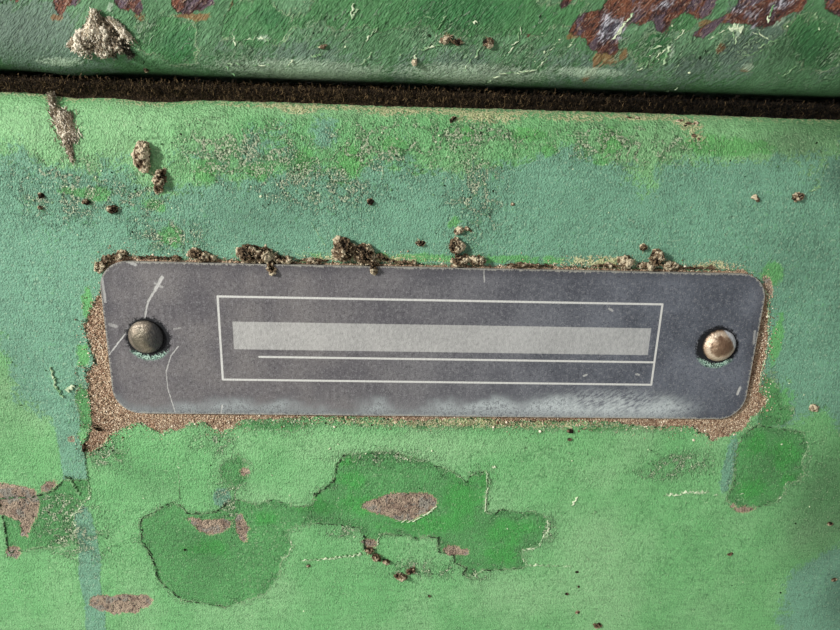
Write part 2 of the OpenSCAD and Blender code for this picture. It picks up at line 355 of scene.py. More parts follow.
# Outline of the gritty bare steel that the plate stands in.
BARE_OUTLINE = [
    (-53, 12.6), (-50.6, 14.3), (-48, 13.4), (46, 13.4), (50, 13.6), (53.4, 11.4), (55, 9),
    (55.6, 6), (56.6, 1), (56.4, -4), (56.6, -8), (58.4, -9.4), (57.4, -12), (56, -12.8),
    (55.4, -14.8), (53.8, -16), (51.4, -16.6), (49.6, -18), (48.6, -16.2), (47, -16),
    (45.8, -14.8), (40, -15), (36, -14.9), (32, -14.2), (24, -14), (12, -14.4), (8, -13.7),
    (0, -14), (-4, -14.4), (-10, -13.8), (-20, -13.8), (-27, -14.2), (-33.4, -14.4),
    (-34.6, -15.8), (-36.6, -16.9), (-38.4, -15.9), (-39.4, -14.9), (-42, -15), (-43.4, -16.3),
    (-45.4, -16.2), (-47, -16.9), (-48.8, -16), (-50.6, -15), (-53.6, -16.4), (-55.4, -17.4),
    (-57, -19.4), (-59.6, -21.2), (-60.4, -19.6), (-59, -17.4), (-58.2, -15), (-58.3, -5.8),
    (-56.6, -4.4), (-57.4, 0), (-57.6, 2), (-55.6, 6), (-54.2, 8),
]
# Dust that lies on the ledges, thick enough to hide the paint.
DUSTY = [
    (-22, 38.2, 16, 1.3, 0), (4, 38.2, 16, 1.5, 0), (31, 38, 10, 1.5, 0), (38, 36.4, 3, 1.7, -20),
    (39, 34.4, 1.6, 1.2, 0), (-46, 38.6, 8, 0.9, 0), (6, 36.6, 7, 1.4, 0), (-22.5, 36.6, 3, 0.9, 0),
    (-8, 37.6, 8, 1.6, 0), (20, 37.2, 7, 1.2, 0),
    (8, -14.4, 34, 1.3, 0), (26, 14.4, 8, 0.9, 0), (45, 14.2, 5, 0.8, 0), (-12, 14.2, 14, 0.7, 0),
    (120, 38.6, 40, 2, 0), (-120, 38.6, 40, 2, 0),
]
# Where the coat is crumbly: it chips, and grains stick to it.
FLAKY = [
    (-30, 30, 13, 6, 0), (-10, 31.5, 11, 5, 0), (-20, 26, 12, 5, 0), (4, 33.5, 12, 3, 0),
    (28, 33, 14, 3.5, 0), (-47, 23, 6, 4, 0), (-43, 17, 6, 3, 0), (5, 25, 5, 8, 0),
    (-38, -19, 4, 2.4, 0), (-36, -30, 3, 6, 0), (0, -44.6, 9, 2, 0), (-64, -38, 7, 5, 0),
    (45, -22, 6, 2.4, 0), (-8, -21.5, 9, 1.6, 0), (-58, 24, 9, 6, 0), (-66, -32, 7, 4, 0),
    (21.6, -36, 1.6, 3, 0), (-16.4, -36.3, 3.4, 1.8, 0), (41, -24.2, 5, 1.4, 0), (0, -14.6, 45, 1.2, 0),
    (9, -46, 3, 1.4, 0), (-57, -21, 4, 3, 0),
]

rail_piece = cut_fine("rail_sheet", "frame_rail", -62, RAIL_TOP - 7)
x, y, z = places(rail_piece.data)
edge_share = np.clip((z - 29) / 8, 0, 1) * (y < FACE_Y + 12)
sag = 0.5 * np.exp(-((x + 44) / 6) ** 2) + 0.45 * np.exp(-((x + 57) / 3) ** 2)
sag -= 0.25 * np.exp(-((x + 66) / 5) ** 2)
dent = 0.16 * waves(x, z, 14, 5) * np.clip((84 - abs(x)) / 10, 0, 1) * np.clip((z + 60) / 10, 0, 1)
move_points(rail_piece.data, x, y + dent * (y < FACE_Y + 6), z - sag * edge_share)

# The sheet is read as if unrolled: what lies behind a bend counts on past it.
unrolled = z + np.sign(z + 38) * np.clip(y - FACE_Y - 2, 0, None)
loose = 0.9 * waves(x, unrolled, 7, 11) + 0.5 * waves(x, unrolled, 2.4, 31)
# The outlines belong to the outer side alone, not to the back of the sheet behind them.
outer = (y < FACE_Y + SKIN_DEPTH) | (z > BEND_FOOT)
large_flakes = np.where(outer, outlines(x, unrolled, LARGE_FLAKES), OUTSIDE)
rust_patches = np.where(outer, outlines(x, unrolled, RUST_OUTLINES), OUTSIDE)
spots = 0.25 * waves(x, unrolled, 3, 41)
mottled = waves(x, unrolled, 13, 51, 4)
band = outlines(x, unrolled, (CHALK_BAND, CHALK_STRIP))
lay(rail_piece.data,
    chalk=np.maximum.reduce([ovals(x, unrolled, CHALKY) + 2.2 * loose, 6 * band + 0.5 * loose,
                             6 * ovals(x, unrolled, CHALK_SPOTS) + 2.5 * loose]),
    flaked=np.maximum(large_flakes + 0.12 * loose, ovals(x, unrolled, FLAKED) + 0.8 * loose),
    deep=cloud(x, unrolled, DEEP),
    rust=np.maximum(rust_patches, ovals(x, unrolled, RUSTED) + spots),
    bare=np.where(outer, outline(x, unrolled, BARE_OUTLINE) + 0.15 * loose, OUTSIDE),
    shine=np.full(x.shape, OUTSIDE),
    dust=np.maximum(cloud(x, unrolled, DUSTY), np.clip((y - FACE_Y - 2) / 4, 0, 0.55) * (z > 36)),
    flaky=cloud(x, unrolled, FLAKY),
    fresh=cloud(x, unrolled, FRESH),
    grime=np.maximum(cloud(x, unrolled, GRIMY), 0.45 * cloud(x, unrolled, DULL)),
    pale=0.4 + 0.4 * mottled + 0.6 * cloud(x, unrolled, PALE))
bpy.ops.object.shade_smooth_by_angle(angle=SMOOTH_BELOW)


def tint(red, green, blue):
    """A colour as it looks on a screen, 0 to 255, made linear for the shader."""
    linear = []
    for part in (red, green, blue):
        part /= 255
        linear.append(part / 12.92 if part <= 0.04045 else ((part + 0.055) / 1.055) ** 2.4)
    return (*linear, 1)


def put(tree, kind, sockets=None, **options):
    """Adds a shader node, sets its options, and feeds its sockets with values or other outputs."""
    added = tree.nodes.new(kind)
    for key, value in options.items():
        setattr(added, key, value)
    for key, value in (sockets or {}).items():
        if isinstance(value, bpy.types.NodeSocket):
            tree.links.new(value, added.inputs[key])
        else:
            added.inputs[key].default_value = value
    return added


def calc(tree, operation, first, second=0.0, third=0.0):
    """One step of arithmetic on values in a shader tree."""
    values = {0: first, 1: second, 2: third}
    return put(tree, "ShaderNodeMath", values, operation=operation).outputs[0]


def fade(tree, value, low, high, to_low=0.0, to_high=1.0):
    """Maps a value smoothly from one range to another, and holds it there."""
    return put(tree, "ShaderNodeMapRange",
               {"Value": value, "From Min": low, "From Max": high, "To Min": to_low,
                "To Max": to_high}, interpolation_type="SMOOTHSTEP").outputs["Result"]


def mix(tree, share, first, second, way="MIX"):
    """Mixes two colours by a share."""
    joined = put(tree, "ShaderNodeMix", {"Factor": share}, data_type="RGBA", blend_type=way)
    for socket, value in zip((joined.inputs[6], joined.inputs[7]), (first, second)):
        if isinstance(value, bpy.types.NodeSocket):
            tree.links.new(value, socket)
        else:
            socket.default_value = value
    return joined.outputs[2]


def noise(tree, where, scale, detail=3.0, roughness=0.55, distortion=0.0):
    """Noise from -1 to 1 at so many waves a millimetre."""
    wave = put(tree, "ShaderNodeTexNoise",
               {"Vector": where, "Scale": scale, "Detail": detail, "Roughness": roughness,
                "Distortion": distortion})
    return calc(tree, "MULTIPLY_ADD", wave.outputs["Fac"], 4.0, -2.0)


def in_millimetres(tree):
    """Object coordinates in millimetres from the middle of the plate's face."""
    place = put(tree, "ShaderNodeTexCoord").outputs["Object"]
    return put(tree, "ShaderNodeMapping",
               {"Vector": place, "Location": (0, -plate_low.y / MM, -PLATE_Z / MM),
                "Scale": (1 / MM, 1 / MM, 1 / MM)}).outputs["Vector"]


def emboss(tree, shader, height):
    """Lets a height in millimetres show as relief."""
    relief = put(tree, "ShaderNodeBump", {"Height": height, "Distance": MM})
    tree.links.new(relief.outputs["Normal"], shader.inputs["Normal"])


def new_group(name, inputs, outputs):
    """An empty shader node group. Sockets are given by kind: their names, in order."""
    group = bpy.data.node_groups.new(name, "ShaderNodeTree")
    for way, sockets in (("INPUT", inputs), ("OUTPUT", outputs)):
        for kind, names in sockets.items():
            for socket_name in names:
                group.interface.new_socket(socket_name, in_out=way, socket_type="NodeSocket" + kind)
    return group, group.nodes.new("NodeGroupInput").outputs, group.nodes.new("NodeGroupOutput").inputs


# Torn edge: turns a distance into a mask whose border wanders, and a rim along that border.
RIM_WIDTH = 0.28          # half width of a torn edge's rim, mm
torn_edge, given, out = new_group(
    "torn_edge", {"Float": ("Inside", "Wander", "Reach", "Softness")}, {"Float": ("Mask", "Rim")})
depth = calc(torn_edge, "MULTIPLY_ADD", given["Wander"], given["Reach"], given["Inside"])
soft = calc(torn_edge, "DIVIDE", depth, given["Softness"])
torn_edge.links.new(fade(torn_edge, soft, -1.0, 1.0), out["Mask"])
off_edge = calc(torn_edge, "ABSOLUTE", calc(torn_edge, "DIVIDE", depth, RIM_WIDTH))
torn_edge.links.new(fade(torn_edge, off_edge, 1.0, 0.0), out["Rim"])

# Weathered paint: chalky coat over a green coat over an older one, flaked, rusted and gritty.
FIELDS = ("Chalk", "Flaked", "Deep", "Rust", "Bare", "Shine", "Dust", "Flaky", "Fresh", "Grime", "Pale")
COAT_SHADES = (
    "Chalk Colour", "Coat Colour", "Pale Colour", "Old Colour", "Deep Colour", "Fresh Colour",
    "Rust Dark", "Rust Light", "Rust Grey", "Dust Dark", "Dust Light", "Fleck Colour", "Rust Rim")
w, given, out = new_group(
    "weathered_paint",
    {"Float": (*FIELDS, "Streaks", "Streak Rise", "Dust Grain"), "Color": COAT_SHADES, "Vector": ("Place",)},
    {"Color": ("Colour",), "Float": ("Roughness", "Height", "Metal")})
where = given["Place"]
middling = noise(w, where, 0.32, 2, 0.6)
fine = noise(w, where, 1.25, 2, 0.65)
finest = noise(w, where, 3.6, 2, 0.6)
wander = calc(w, "ADD", calc(w, "MULTIPLY", fine, 0.75), calc(w, "MULTIPLY", finest, 0.35))


def torn(inside, reach, softness):
    """Mask and rim of one layer's torn edge inside the weathered paint."""
    edge = put(w, "ShaderNodeGroup", node_tree=torn_edge)
    w.links.new(inside, edge.inputs["Inside"])
    w.links.new(wander, edge.inputs["Wander"])
    edge.inputs["Reach"].default_value = reach
    edge.inputs["Softness"].default_value = softness
    return edge.outputs["Mask"], edge.outputs["Rim"]


chalk_mask, _ = torn(given["Chalk"], 2.6, 0.9)
flaked_mask, flaked_rim = torn(given["Flaked"], 0.8, 0.08)
rust_mask, rust_rim = torn(given["Rust"], 0.4, 0.1)
bare_mask, _ = torn(given["Bare"], 0.6, 0.16)
shine_mask, _ = torn(given["Shine"], 0.6, 0.45)
fresh_mask = calc(w, "MULTIPLY_ADD", calc(w, "ADD", middling, wander), 0.26, given["Fresh"])
fresh_mask = fade(w, fresh_mask, 0.35, 0.6, 0.0, 0.8)

crumbs = calc(w, "ADD", fine, finest)
from_tear = calc(w, "ABSOLUTE", calc(w, "MULTIPLY_ADD", middling, 1.6, given["Flaked"]))
near_tear = fade(w, from_tear, 0.8, 0.1, 0.0, 0.22)
patches = noise(w, where, 0.24, 2, 0.6, 0.5)
seams = fade(w, calc(w, "ABSOLUTE", patches), 0.3, 0.08, 0.25, 1.15)
brittle = calc(w, "MAXIMUM", calc(w, "MULTIPLY", given["Flaky"], seams), near_tear)
old_coat = mix(w, fade(w, calc(w, "MULTIPLY_ADD", middling, 0.4, given["Deep"]), 0.15, 0.85),
               given["Old Colour"], given["Deep Colour"])
coat = mix(w, fade(w, calc(w, "MULTIPLY_ADD", fine, 0.3, given["Pale"]), 0.0, 1.0),
           given["Coat Colour"], given["Pale Colour"])
coat = mix(w, chalk_mask, coat, given["Chalk Colour"])
coat = mix(w, fresh_mask, coat, given["Fresh Colour"])
scale_edge = calc(w, "MULTIPLY_ADD", finest, 0.8, calc(w, "MULTIPLY_ADD", middling, 0.5, fine))
scale_edge = calc(w, "MULTIPLY_ADD", brittle, 0.7, calc(w, "SUBTRACT", scale_edge, 0.86))
chipped = fade(w, scale_edge, -0.04, 0.05)
chip_rim = calc(w, "MULTIPLY", fade(w, calc(w, "ABSOLUTE", calc(w, "ADD", scale_edge, 0.08)), 0.13, 0.0),
                fade(w, brittle, 0.1, 0.7))
old_mask = calc(w, "MAXIMUM", flaked_mask, calc(w, "MULTIPLY", chipped, 0.4))
colour = mix(w, old_mask, coat, old_coat)
tone = calc(w, "MULTIPLY_ADD", middling, 0.12, 1.0)
tone = calc(w, "MULTIPLY_ADD", fine, 0.2, tone)
tone = calc(w, "MULTIPLY_ADD", finest, 0.26, tone)
tone = calc(w, "MULTIPLY_ADD", given["Streaks"], 0.12, tone)
# Painted shade and dirt darken the tone, by up to half.
tone = calc(w, "MULTIPLY", tone, fade(w, given["Grime"], 0.0, 1.0, 1.0, 0.5))
grey = put(w, "ShaderNodeCombineColor", {0: tone, 1: tone, 2: tone}).outputs[0]
colour = mix(w, 1.0, colour, grey, "MULTIPLY")

rim = calc(w, "MULTIPLY", flaked_rim, fade(w, calc(w, "ADD", middling, finest), -0.5, 0.6))
colour = mix(w, calc(w, "MULTIPLY", rim, 0.7), colour, tint(186, 208, 160))
colour = mix(w, calc(w, "MULTIPLY", chip_rim, 0.6), colour, tint(184, 206, 160))

pale_flecks = calc(w, "MULTIPLY_ADD", brittle, 0.5, calc(w, "MULTIPLY_ADD", fine, -0.5, finest))
pale_flecks = calc(w, "MULTIPLY", fade(w, pale_flecks, 0.46, 0.68), fade(w, brittle, 0.0, 0.8, 0.2, 0.9))
colour = mix(w, pale_flecks, colour, given["Fleck Colour"])
dark_flecks = calc(w, "MULTIPLY_ADD", brittle, -0.4, crumbs)
dark_flecks = calc(w, "MULTIPLY", fade(w, dark_flecks, -0.82, -1.05),
                   fade(w, given["Flaky"], 0.0, 0.8, 0.1, 0.6))
colour = mix(w, dark_flecks, colour, tint(50, 72, 46))
wrinkle = calc(w, "MULTIPLY", fade(w, calc(w, "ABSOLUTE", given["Streaks"]), 0.07, 0.0),
               fade(w, calc(w, "MULTIPLY_ADD", given["Flaky"], 0.6, middling), 0.1, 0.5))
wrinkle = calc(w, "MULTIPLY", wrinkle, fade(w, given["Streak Rise"], 0.01, 0.03))
colour = mix(w, calc(w, "MULTIPLY", wrinkle, 0.5), colour, given["Dust Light"])

dusted = calc(w, "MULTIPLY_ADD", given["Dust"], 2.0, calc(w, "MULTIPLY", crumbs, given["Dust Grain"]))
dust_mask = calc(w, "MULTIPLY", fade(w, dusted, 0.6, 1.5, 0.0, 0.85), fade(w, given["Dust"], 0.02, 0.5))
dust_colour = mix(w, fade(w, finest, -0.5, 0.5), given["Dust Dark"], given["Dust Light"])
colour = mix(w, dust_mask, colour, dust_colour)

grains = put(w, "ShaderNodeTexVoronoi", {"Vector": where, "Scale": 5.2, "Randomness": 1.0})
grain_tone = put(w, "ShaderNodeSeparateColor", {0: grains.outputs["Color"]}).outputs[0]
grit_ramp = put(w, "ShaderNodeValToRGB", {"Fac": grain_tone})
GRIT_STOPS = [
    # position, colour
    (0.0, (112, 84, 66)), (0.3, (158, 126, 100)), (0.65, (190, 160, 128)), (1.0, (238, 216, 184)),
]
for at, _ in GRIT_STOPS[1:-1]:
    grit_ramp.color_ramp.elements.new(at)
for element, (at, shade) in zip(grit_ramp.color_ramp.elements, GRIT_STOPS):
    element.position = at
    element.color = tint(*shade)
grit = mix(w, fade(w, middling, -0.4, 1.4, 0.0, 0.45), grit_ramp.outputs["Color"], tint(150, 96, 66))
colour = mix(w, bare_mask, colour, grit)

rust_blend = noise(w, where, 0.55, 3, 0.65, 0.8)
rust_colour = mix(w, fade(w, rust_blend, -0.5, 0.5), given["Rust Dark"], given["Rust Light"])
rust_colour = mix(w, fade(w, calc(w, "SUBTRACT", middling, rust_blend), 0.1, 0.7, 0.0, 0.9), rust_colour,
                  given["Rust Grey"])
rust_colour = mix(w, fade(w, finest, 0.15, 0.8, 0.0, 0.6), rust_colour, tint(196, 172, 148))
rust_colour = mix(w, fade(w, crumbs, -0.2, -0.9, 0.0, 0.85), rust_colour, tint(48, 34, 30))
colour = mix(w, rust_mask, colour, rust_colour)
rust_edge = calc(w, "MULTIPLY", rust_rim, fade(w, finest, -0.3, 0.6, 0.0, 0.7))
colour = mix(w, rust_edge, colour, given["Rust Rim"])
bright = mix(w, fade(w, calc(w, "ADD", crumbs, given["Streaks"]), -0.6, 0.6), tint(92, 88, 98),
             tint(226, 222, 228))
colour = mix(w, shine_mask, colour, bright)
w.links.new(colour, out["Colour"])
w.links.new(fade(w, shine_mask, 0, 1, 0.62, 0.4), out["Roughness"])
w.links.new(calc(w, "MULTIPLY", shine_mask, 0.6), out["Metal"])

RELIEF = [
    # share of each layer, height in millimetres
    (chalk_mask, 0.03), (old_mask, -0.24), (bare_mask, -0.24), (rust_mask, -0.16),
    (rim, 0.12), (chip_rim, 0.1), (dust_mask, 0.07), (middling, 0.05), (fine, 0.05), (finest, 0.07),
    (wrinkle, 0.22),
    (calc(w, "MULTIPLY", crumbs, brittle), 0.5),
    (calc(w, "MULTIPLY", calc(w, "SUBTRACT", 0.6, grains.outputs["Distance"]), bare_mask), 0.22),
    (calc(w, "MULTIPLY", crumbs, rust_mask), 0.16),
    (calc(w, "MULTIPLY", given["Streaks"], given["Streak Rise"]), 1.0),
]
height = 0.0
for share, rise in RELIEF:
    height = calc(w, "MULTIPLY_ADD", share, rise, height)
w.links.new(height, out["Height"])


def painted(name, streak_turn, streak_scale, streak_rise, grain_scale, dust_grain, colours):
    """A weathered paint finish that reads its layers from the piece's own attributes."""
    finish, tree, shader = new_finish(name)
    layers = put(tree, "ShaderNodeGroup", node_tree=w)
    for socket in FIELDS:
        field = put(tree, "ShaderNodeAttribute", attribute_name=socket.lower())
        tree.links.new(field.outputs["Fac"], layers.inputs[socket])
    turned = put(tree, "ShaderNodeMapping", {"Vector": in_millimetres(tree),
                 "Rotation": (0, math.radians(streak_turn), 0)}).outputs["Vector"]
    drawn = put(tree, "ShaderNodeMapping", {"Vector": turned, "Scale": streak_scale}).outputs["Vector"]
    tree.links.new(noise(tree, drawn, 1.0, 2, 0.6, 0.6), layers.inputs["Streaks"])
    grain_place = put(tree, "ShaderNodeMapping", {"Vector": turned, "Scale": grain_scale}).outputs["Vector"]
    tree.links.new(grain_place, layers.inputs["Place"])
    layers.inputs["Streak Rise"].default_value = streak_rise
    layers.inputs["Dust Grain"].default_value = dust_grain
    for socket, shade in colours.items():
        layers.inputs[socket].default_value = tint(*shade)
    tree.links.new(layers.outputs["Colour"], shader.inputs["Base Color"])
    tree.links.new(layers.outputs["Roughness"], shader.inputs["Roughness"])
    tree.links.new(layers.outputs["Metal"], shader.inputs["Metallic"])
    emboss(tree, shader, layers.outputs["Height"])
    shader.inputs["Specular IOR Level"].default_value = 0.35
    return finish


RAIL_COLOURS = {
    "Chalk Colour": (114, 162, 132), "Coat Colour": (112, 176, 110), "Pale Colour": (138, 188, 130),
    "Old Colour": (87, 149, 86), "Deep Colour": (72, 151, 72), "Fresh Colour": (100, 172, 92),
    "Rust Dark": (152, 126, 108), "Rust Light": (200, 176, 150), "Rust Grey": (168, 162, 148),
    "Dust Dark": (158, 158, 104), "Dust Light": (226, 218, 170), "Fleck Colour": (228, 238, 198),
    "Rust Rim": (190, 168, 128),
}
rail_piece.data.materials.append(painted(
    "rail_paint", streak_turn=0, streak_scale=(0.22, 1, 1.9), streak_rise=0.006, grain_scale=(1, 1, 1),
    dust_grain=1.3, colours=RAIL_COLOURS))
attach(rail_piece, "root")
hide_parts("frame_rail")


# Upper rail
# The smaller channel bolted on top is bent the same way. Its coat is older and darker, wrinkled
# and scratched, and along the top of the visible part it has rusted through to bare steel.
UPPER_CHALKY = [
    (-62, 46, 9, 5, 0), (-57, 43.5, 6, 2, 0), (17, 44.4, 3.4, 1.4, 0), (24, 43.7, 6, 1.0, 0),
    (44, 46.6, 3.4, 2.6, 0), (36, 44.5, 5, 1.2, 0), (-20, 44, 8, 1.6, 0), (0, 44, 6, 1.2, 0),
    (47.6, 49.4, 2.8, 1.8, 30), (57.4, 46, 1.4, 1.6, -30), (44, 52.6, 2, 1.2, 0), (12, 42.6, 12, 0.9, 0),
]
UPPER_FLAKED = [
    (-41, 45.5, 4, 3.4, 0), (-12, 50.5, 9, 3, 0), (4, 50.6, 13, 3.4, 0), (31, 46.6, 3, 2.4, 0),
    (34, 50.5, 3, 1.6, 0), (55, 48, 5, 3.4, 0), (-28, 48, 4, 3, 0), (-90, 70, 12, 5, -15),
    (-97, 76, 6, 6, 0), (60, 84, 14, 5, 12), (70, 90, 7, 5, 0), (-20, 78, 10, 4, 20), (110, 60, 8, 4, -20),
    (-10, 120, 20, 9, 0),
]
UPPER_DEEP = [
    (-40, 45, 4, 3, 0), (54, 48, 5, 4, 0), (31, 48, 2.4, 2.4, 0), (2, 50.6, 12, 3, 0),
    (-26, 49, 3, 2, 0), (58, 43, 6, 3, 0),
]
UPPER_RUST_OUTLINES = [
    [(20.3, 51.1), (21.6, 51.6), (22.4, 52.3), (23.0, 53.1), (24.2, 53.7), (26, 57.5), (38.4, 57.5),
     (38.9, 53.4), (38.6, 51.7), (37.4, 50.9), (36.0, 51.1), (35.0, 51.7), (34.0, 51.6), (33.2, 51.1),
     (32.5, 50.1), (32.2, 49.0), (31.2, 48.8), (30.4, 49.2), (30.2, 50.3), (29.6, 50.7), (28.9, 50.1),
     (28.3, 49.8), (27.0, 49.9), (26.2, 50.2), (25.8, 49.2), (25.0, 48.2), (24.8, 47.6), (25.2, 46.6),
     (25.0, 45.6), (24.2, 45.7), (23.0, 45.7), (22.0, 46.1), (21.0, 46.2), (20.4, 47.0), (20.2, 47.9),
     (19.2, 48.1), (17.9, 48.3), (17.6, 48.9), (18.4, 49.8), (18.8, 50.8), (19.4, 51.3)],
    [(36.1, 48.5), (36.6, 49.4), (37.5, 50.1), (38.6, 50.6), (39.8, 51.3), (41.2, 51.8), (42, 53),
     (42.6, 57.5), (53.8, 57.5), (52.6, 54), (52.2, 53.0), (51.4, 52.4), (50.2, 52.4), (49.4, 51.8),
     (48.4, 51.0), (47.6, 50.3), (46, 50.1), (45.0, 50.4), (43.8, 50.6), (42.4, 50.6), (40.8, 50.6),
     (39.8, 50.1), (39.2, 49.4), (38.4, 48.8), (37.2, 48.2)],
    [(55.2, 53.4), (56.0, 52.4), (57.4, 52.2), (60, 51.8), (66, 53), (70, 57.5), (56, 57.5)],
    [(15.9, 51.6), (16.8, 51.8), (17.8, 53.0), (18.4, 54.6), (16.6, 54.2)],
    [(-56.3, 52.5), (-56.2, 49.6), (-55.6, 48.2), (-55, 48.5), (-54.6, 49.6), (-53.2, 49.6),
     (-52.4, 50.4), (-52.6, 52.8)],
    [(-48.1, 52), (-47.6, 49.9), (-46.6, 49.3), (-45.4, 49.4), (-44.6, 48.6), (-43.6, 48.8),
     (-43.8, 49.8), (-44.4, 52.6)],
    [(-39.8, 53), (-39.7, 50.2), (-39.3, 49.2), (-38.4, 49), (-37, 49.2), (-35.6, 49.6),
     (-34.2, 50.2), (-33.6, 51), (-33, 53)],
    [(-63, 50.4), (-61.4, 49.6), (-60.6, 50.4), (-61, 52)],
]
UPPER_RUST = [
    (5.7, 46.7, 0.8, 0.7, 0), (11.4, 47.6, 0.5, 0.4, 0), (-95, 73, 4, 2.6, -40), (-85, 69, 2, 1.2, 0),
    (65, 86, 6, 2, 20), (56, 82, 2.6, 1.6, 0), (113, 58, 1.8, 2.6, 20), (-12, 120, 8, 4, 0),
]
# Orange stains that rust has left on the paint.
UPPER_STAIN = [
    (23.9, 45.4, 2.4, 1.6, 0), (22.2, 44.8, 1.3, 1.5, 0), (21.5, 43.2, 0.8, 2.2, -18),
    (26, 45.9, 1.2, 1.1, 0), (24.4, 46.8, 1.2, 1.2, 0), (40.6, 47, 1.1, 1.5, -30),
    (-37, 48.8, 3.4, 0.8, 0), (-56, 48, 1.2, 0.9, 0), (-44.4, 48.4, 1.2, 0.8, 0),
    (-30.6, 50, 1.6, 2.4, 0), (45.5, 44.4, 1.2, 0.5, 10), (37.6, 50.4, 1.5, 0.6, 20),
    (18.2, 48.2, 1.2, 0.6, 0), (61, 83, 9, 5, 0), (-90, 69, 8, 6, 0),
]
# Bare bright metal inside the rust.
UPPER_SHINE = [
    (23, 49.2, 0.8, 1.8, -12), (24.6, 49.5, 1.1, 1.0, -35), (24, 48.3, 1.5, 0.5, 0),
    (27.6, 52.3, 0.35, 1.2, -38), (42.6, 52.6, 0.8, 0.5, 0), (44.9, 51.8, 0.22, 1.2, 0),
    (30.8, 52.6, 1.0, 0.3, 20), (61.5, 84.4, 2, 1.0, 0), (40, 56.5, 5, 1.0, 0), (48.6, 53.4, 1.4, 0.4, 20),
]
# Pale dust and bleached paint on the bend and round the rust.
UPPER_DUSTY = [
    (-22, 42.3, 19.5, 1.85, 0), (4, 42.5, 17, 1.8, 0), (21, 43.2, 9, 1.0, 0), (-57, 42.6, 5, 0.7, 0),
    (42.7, 49.9, 1.5, 0.9, 0), (42.6, 48.9, 0.6, 1.3, 0), (-48.4, 49.6, 0.6, 1.4, 25),
    (33, 46.4, 0.9, 1.6, 0), (48.8, 51, 1.6, 0.7, 35), (45.4, 44.6, 1.6, 0.7, 0),
    (27, 51.4, 1.0, 0.6, 20), (-27, 46.2, 1.6, 0.5, 0),
]
UPPER_FLAKY = [
    (-30, 44, 5, 3, 0), (-16, 47, 7, 4, 0), (0, 47, 9, 4, 0), (13, 45, 7, 4, 0), (30, 47, 10, 5, 0),
    (44, 48, 7, 4, 0), (9, 43.5, 6, 1.6, 0), (58, 47, 3, 4, 0), (-44, 47, 4, 3, 0),
]
# Painted shade and dirt darken the upper rail at its right end and under its lower bend, and only dull it
# elsewhere.
UPPER_GRIMY = [(68, 46, 12, 8, 0), (0, 40.4, 120, 0.8, 0)]
UPPER_DULL = [(52, 46, 16, 7, 0), (-62, 46, 10, 8, 0), (38, 45, 8, 4, 0)]
UPPER_PALE = [(-62, 46, 8, 5, 0)]
UPPER_BEND_TOP = 46.2     # height where the bottom bend ends, mm
upper_piece = cut_fine("upper_sheet", "upper_rail", 46.4, 62)
x, y, z = places(upper_piece.data)
lower_share = np.clip((49 - z) / 8, 0, 1) * (y < FACE_Y + 14)
sag = 0.55 * np.exp(-((x + 57.5) / 4.5) ** 2) - 0.12 * np.exp(-((x + 46) / 5) ** 2)
dent = 0.14 * waves(x, z, 11, 205) * np.clip((84 - abs(x)) / 10, 0, 1) * (y < FACE_Y + 6)
move_points(upper_piece.data, x, y + dent, z - sag * lower_share)
unrolled = z + np.sign(z - 72) * np.clip(y - FACE_Y - 5, 0, None)
loose = 0.7 * waves(x, unrolled, 5, 211) + 0.5 * waves(x, unrolled, 2, 231)
outer = (y < FACE_Y + SKIN_DEPTH) | (z < UPPER_BEND_TOP)
rust_patches = np.where(outer, outlines(x, unrolled, UPPER_RUST_OUTLINES) + 0.1 * loose, OUTSIDE)
shiny = ovals(x, unrolled, UPPER_SHINE) + 0.2 * loose
lay(upper_piece.data,
    chalk=ovals(x, unrolled, UPPER_CHALKY) + 1.6 * loose,
    flaked=ovals(x, unrolled, UPPER_FLAKED) + 1.3 * loose,
    deep=cloud(x, unrolled, UPPER_DEEP),
    rust=np.maximum(rust_patches, ovals(x, unrolled, UPPER_RUST) + 0.3 * loose),
    bare=np.full(x.shape, OUTSIDE),
    shine=np.where(y < FACE_Y + SKIN_DEPTH, shiny, OUTSIDE),
    dust=cloud(x, unrolled, UPPER_DUSTY),
    flaky=0.75 * cloud(x, unrolled, UPPER_FLAKY),
    fresh=cloud(x, unrolled, UPPER_STAIN) * (y < FACE_Y + 6),
    grime=np.maximum(cloud(x, unrolled, UPPER_GRIMY), 0.6 * cloud(x, unrolled, UPPER_DULL)),
    pale=0.4 + 0.5 * waves(x, unrolled, 9, 251, 4) + 0.6 * cloud(x, unrolled, UPPER_PALE))
bpy.ops.object.shade_smooth_by_angle(angle=SMOOTH_BELOW)
# What is fresh green below is the orange of the rust's stains here, and the rust's rim is dark: painted
# shadow along the rust's edge.
UPPER_COLOURS = {
    "Chalk Colour": (104, 130, 108), "Coat Colour": (82, 128, 82), "Pale Colour": (106, 148, 106),
    "Old Colour": (76, 128, 76), "Deep Colour": (56, 112, 62), "Fresh Colour": (140, 96, 52),
    "Rust Dark": (70, 40, 40), "Rust Light": (138, 84, 58), "Rust Grey": (112, 94, 104),
    "Dust Dark": (150, 174, 144), "Dust Light": (186, 206, 176), "Fleck Colour": (156, 186, 146),
    "Rust Rim": (50, 34, 26),
}
upper_piece.data.materials.append(painted(
    "upper_paint", streak_turn=-44, streak_scale=(0.9, 1, 0.26), streak_rise=0.055,
    grain_scale=(1.2, 1, 0.42), dust_grain=0.35, colours=UPPER_COLOURS))
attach(upper_piece, "root")
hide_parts("upper_rail")


# Identification plate
# A thin plate with a satin black face and a ruled box, left blank, which two rivets hold to the rail.
# Handling and grit have worn its edges down to the metal and scratched its left end. A painted sheen lies
# along its lower edge, and painted shadow rings the rivets.
PLATE_CORNER = 4.4        # corner radius, mm
rivet_low, rivet_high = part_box("rivet_right")
RIVET_X = (rivet_low.x + rivet_high.x) / 2 / MM
RIVET_Z = ((rivet_low.z + rivet_high.z) / 2 - PLATE_Z) / MM
plate_finish, p, plate_shader = new_finish("plate_black")
where = in_millimetres(p)
axes = put(p, "ShaderNodeSeparateXYZ", {0: where}).outputs


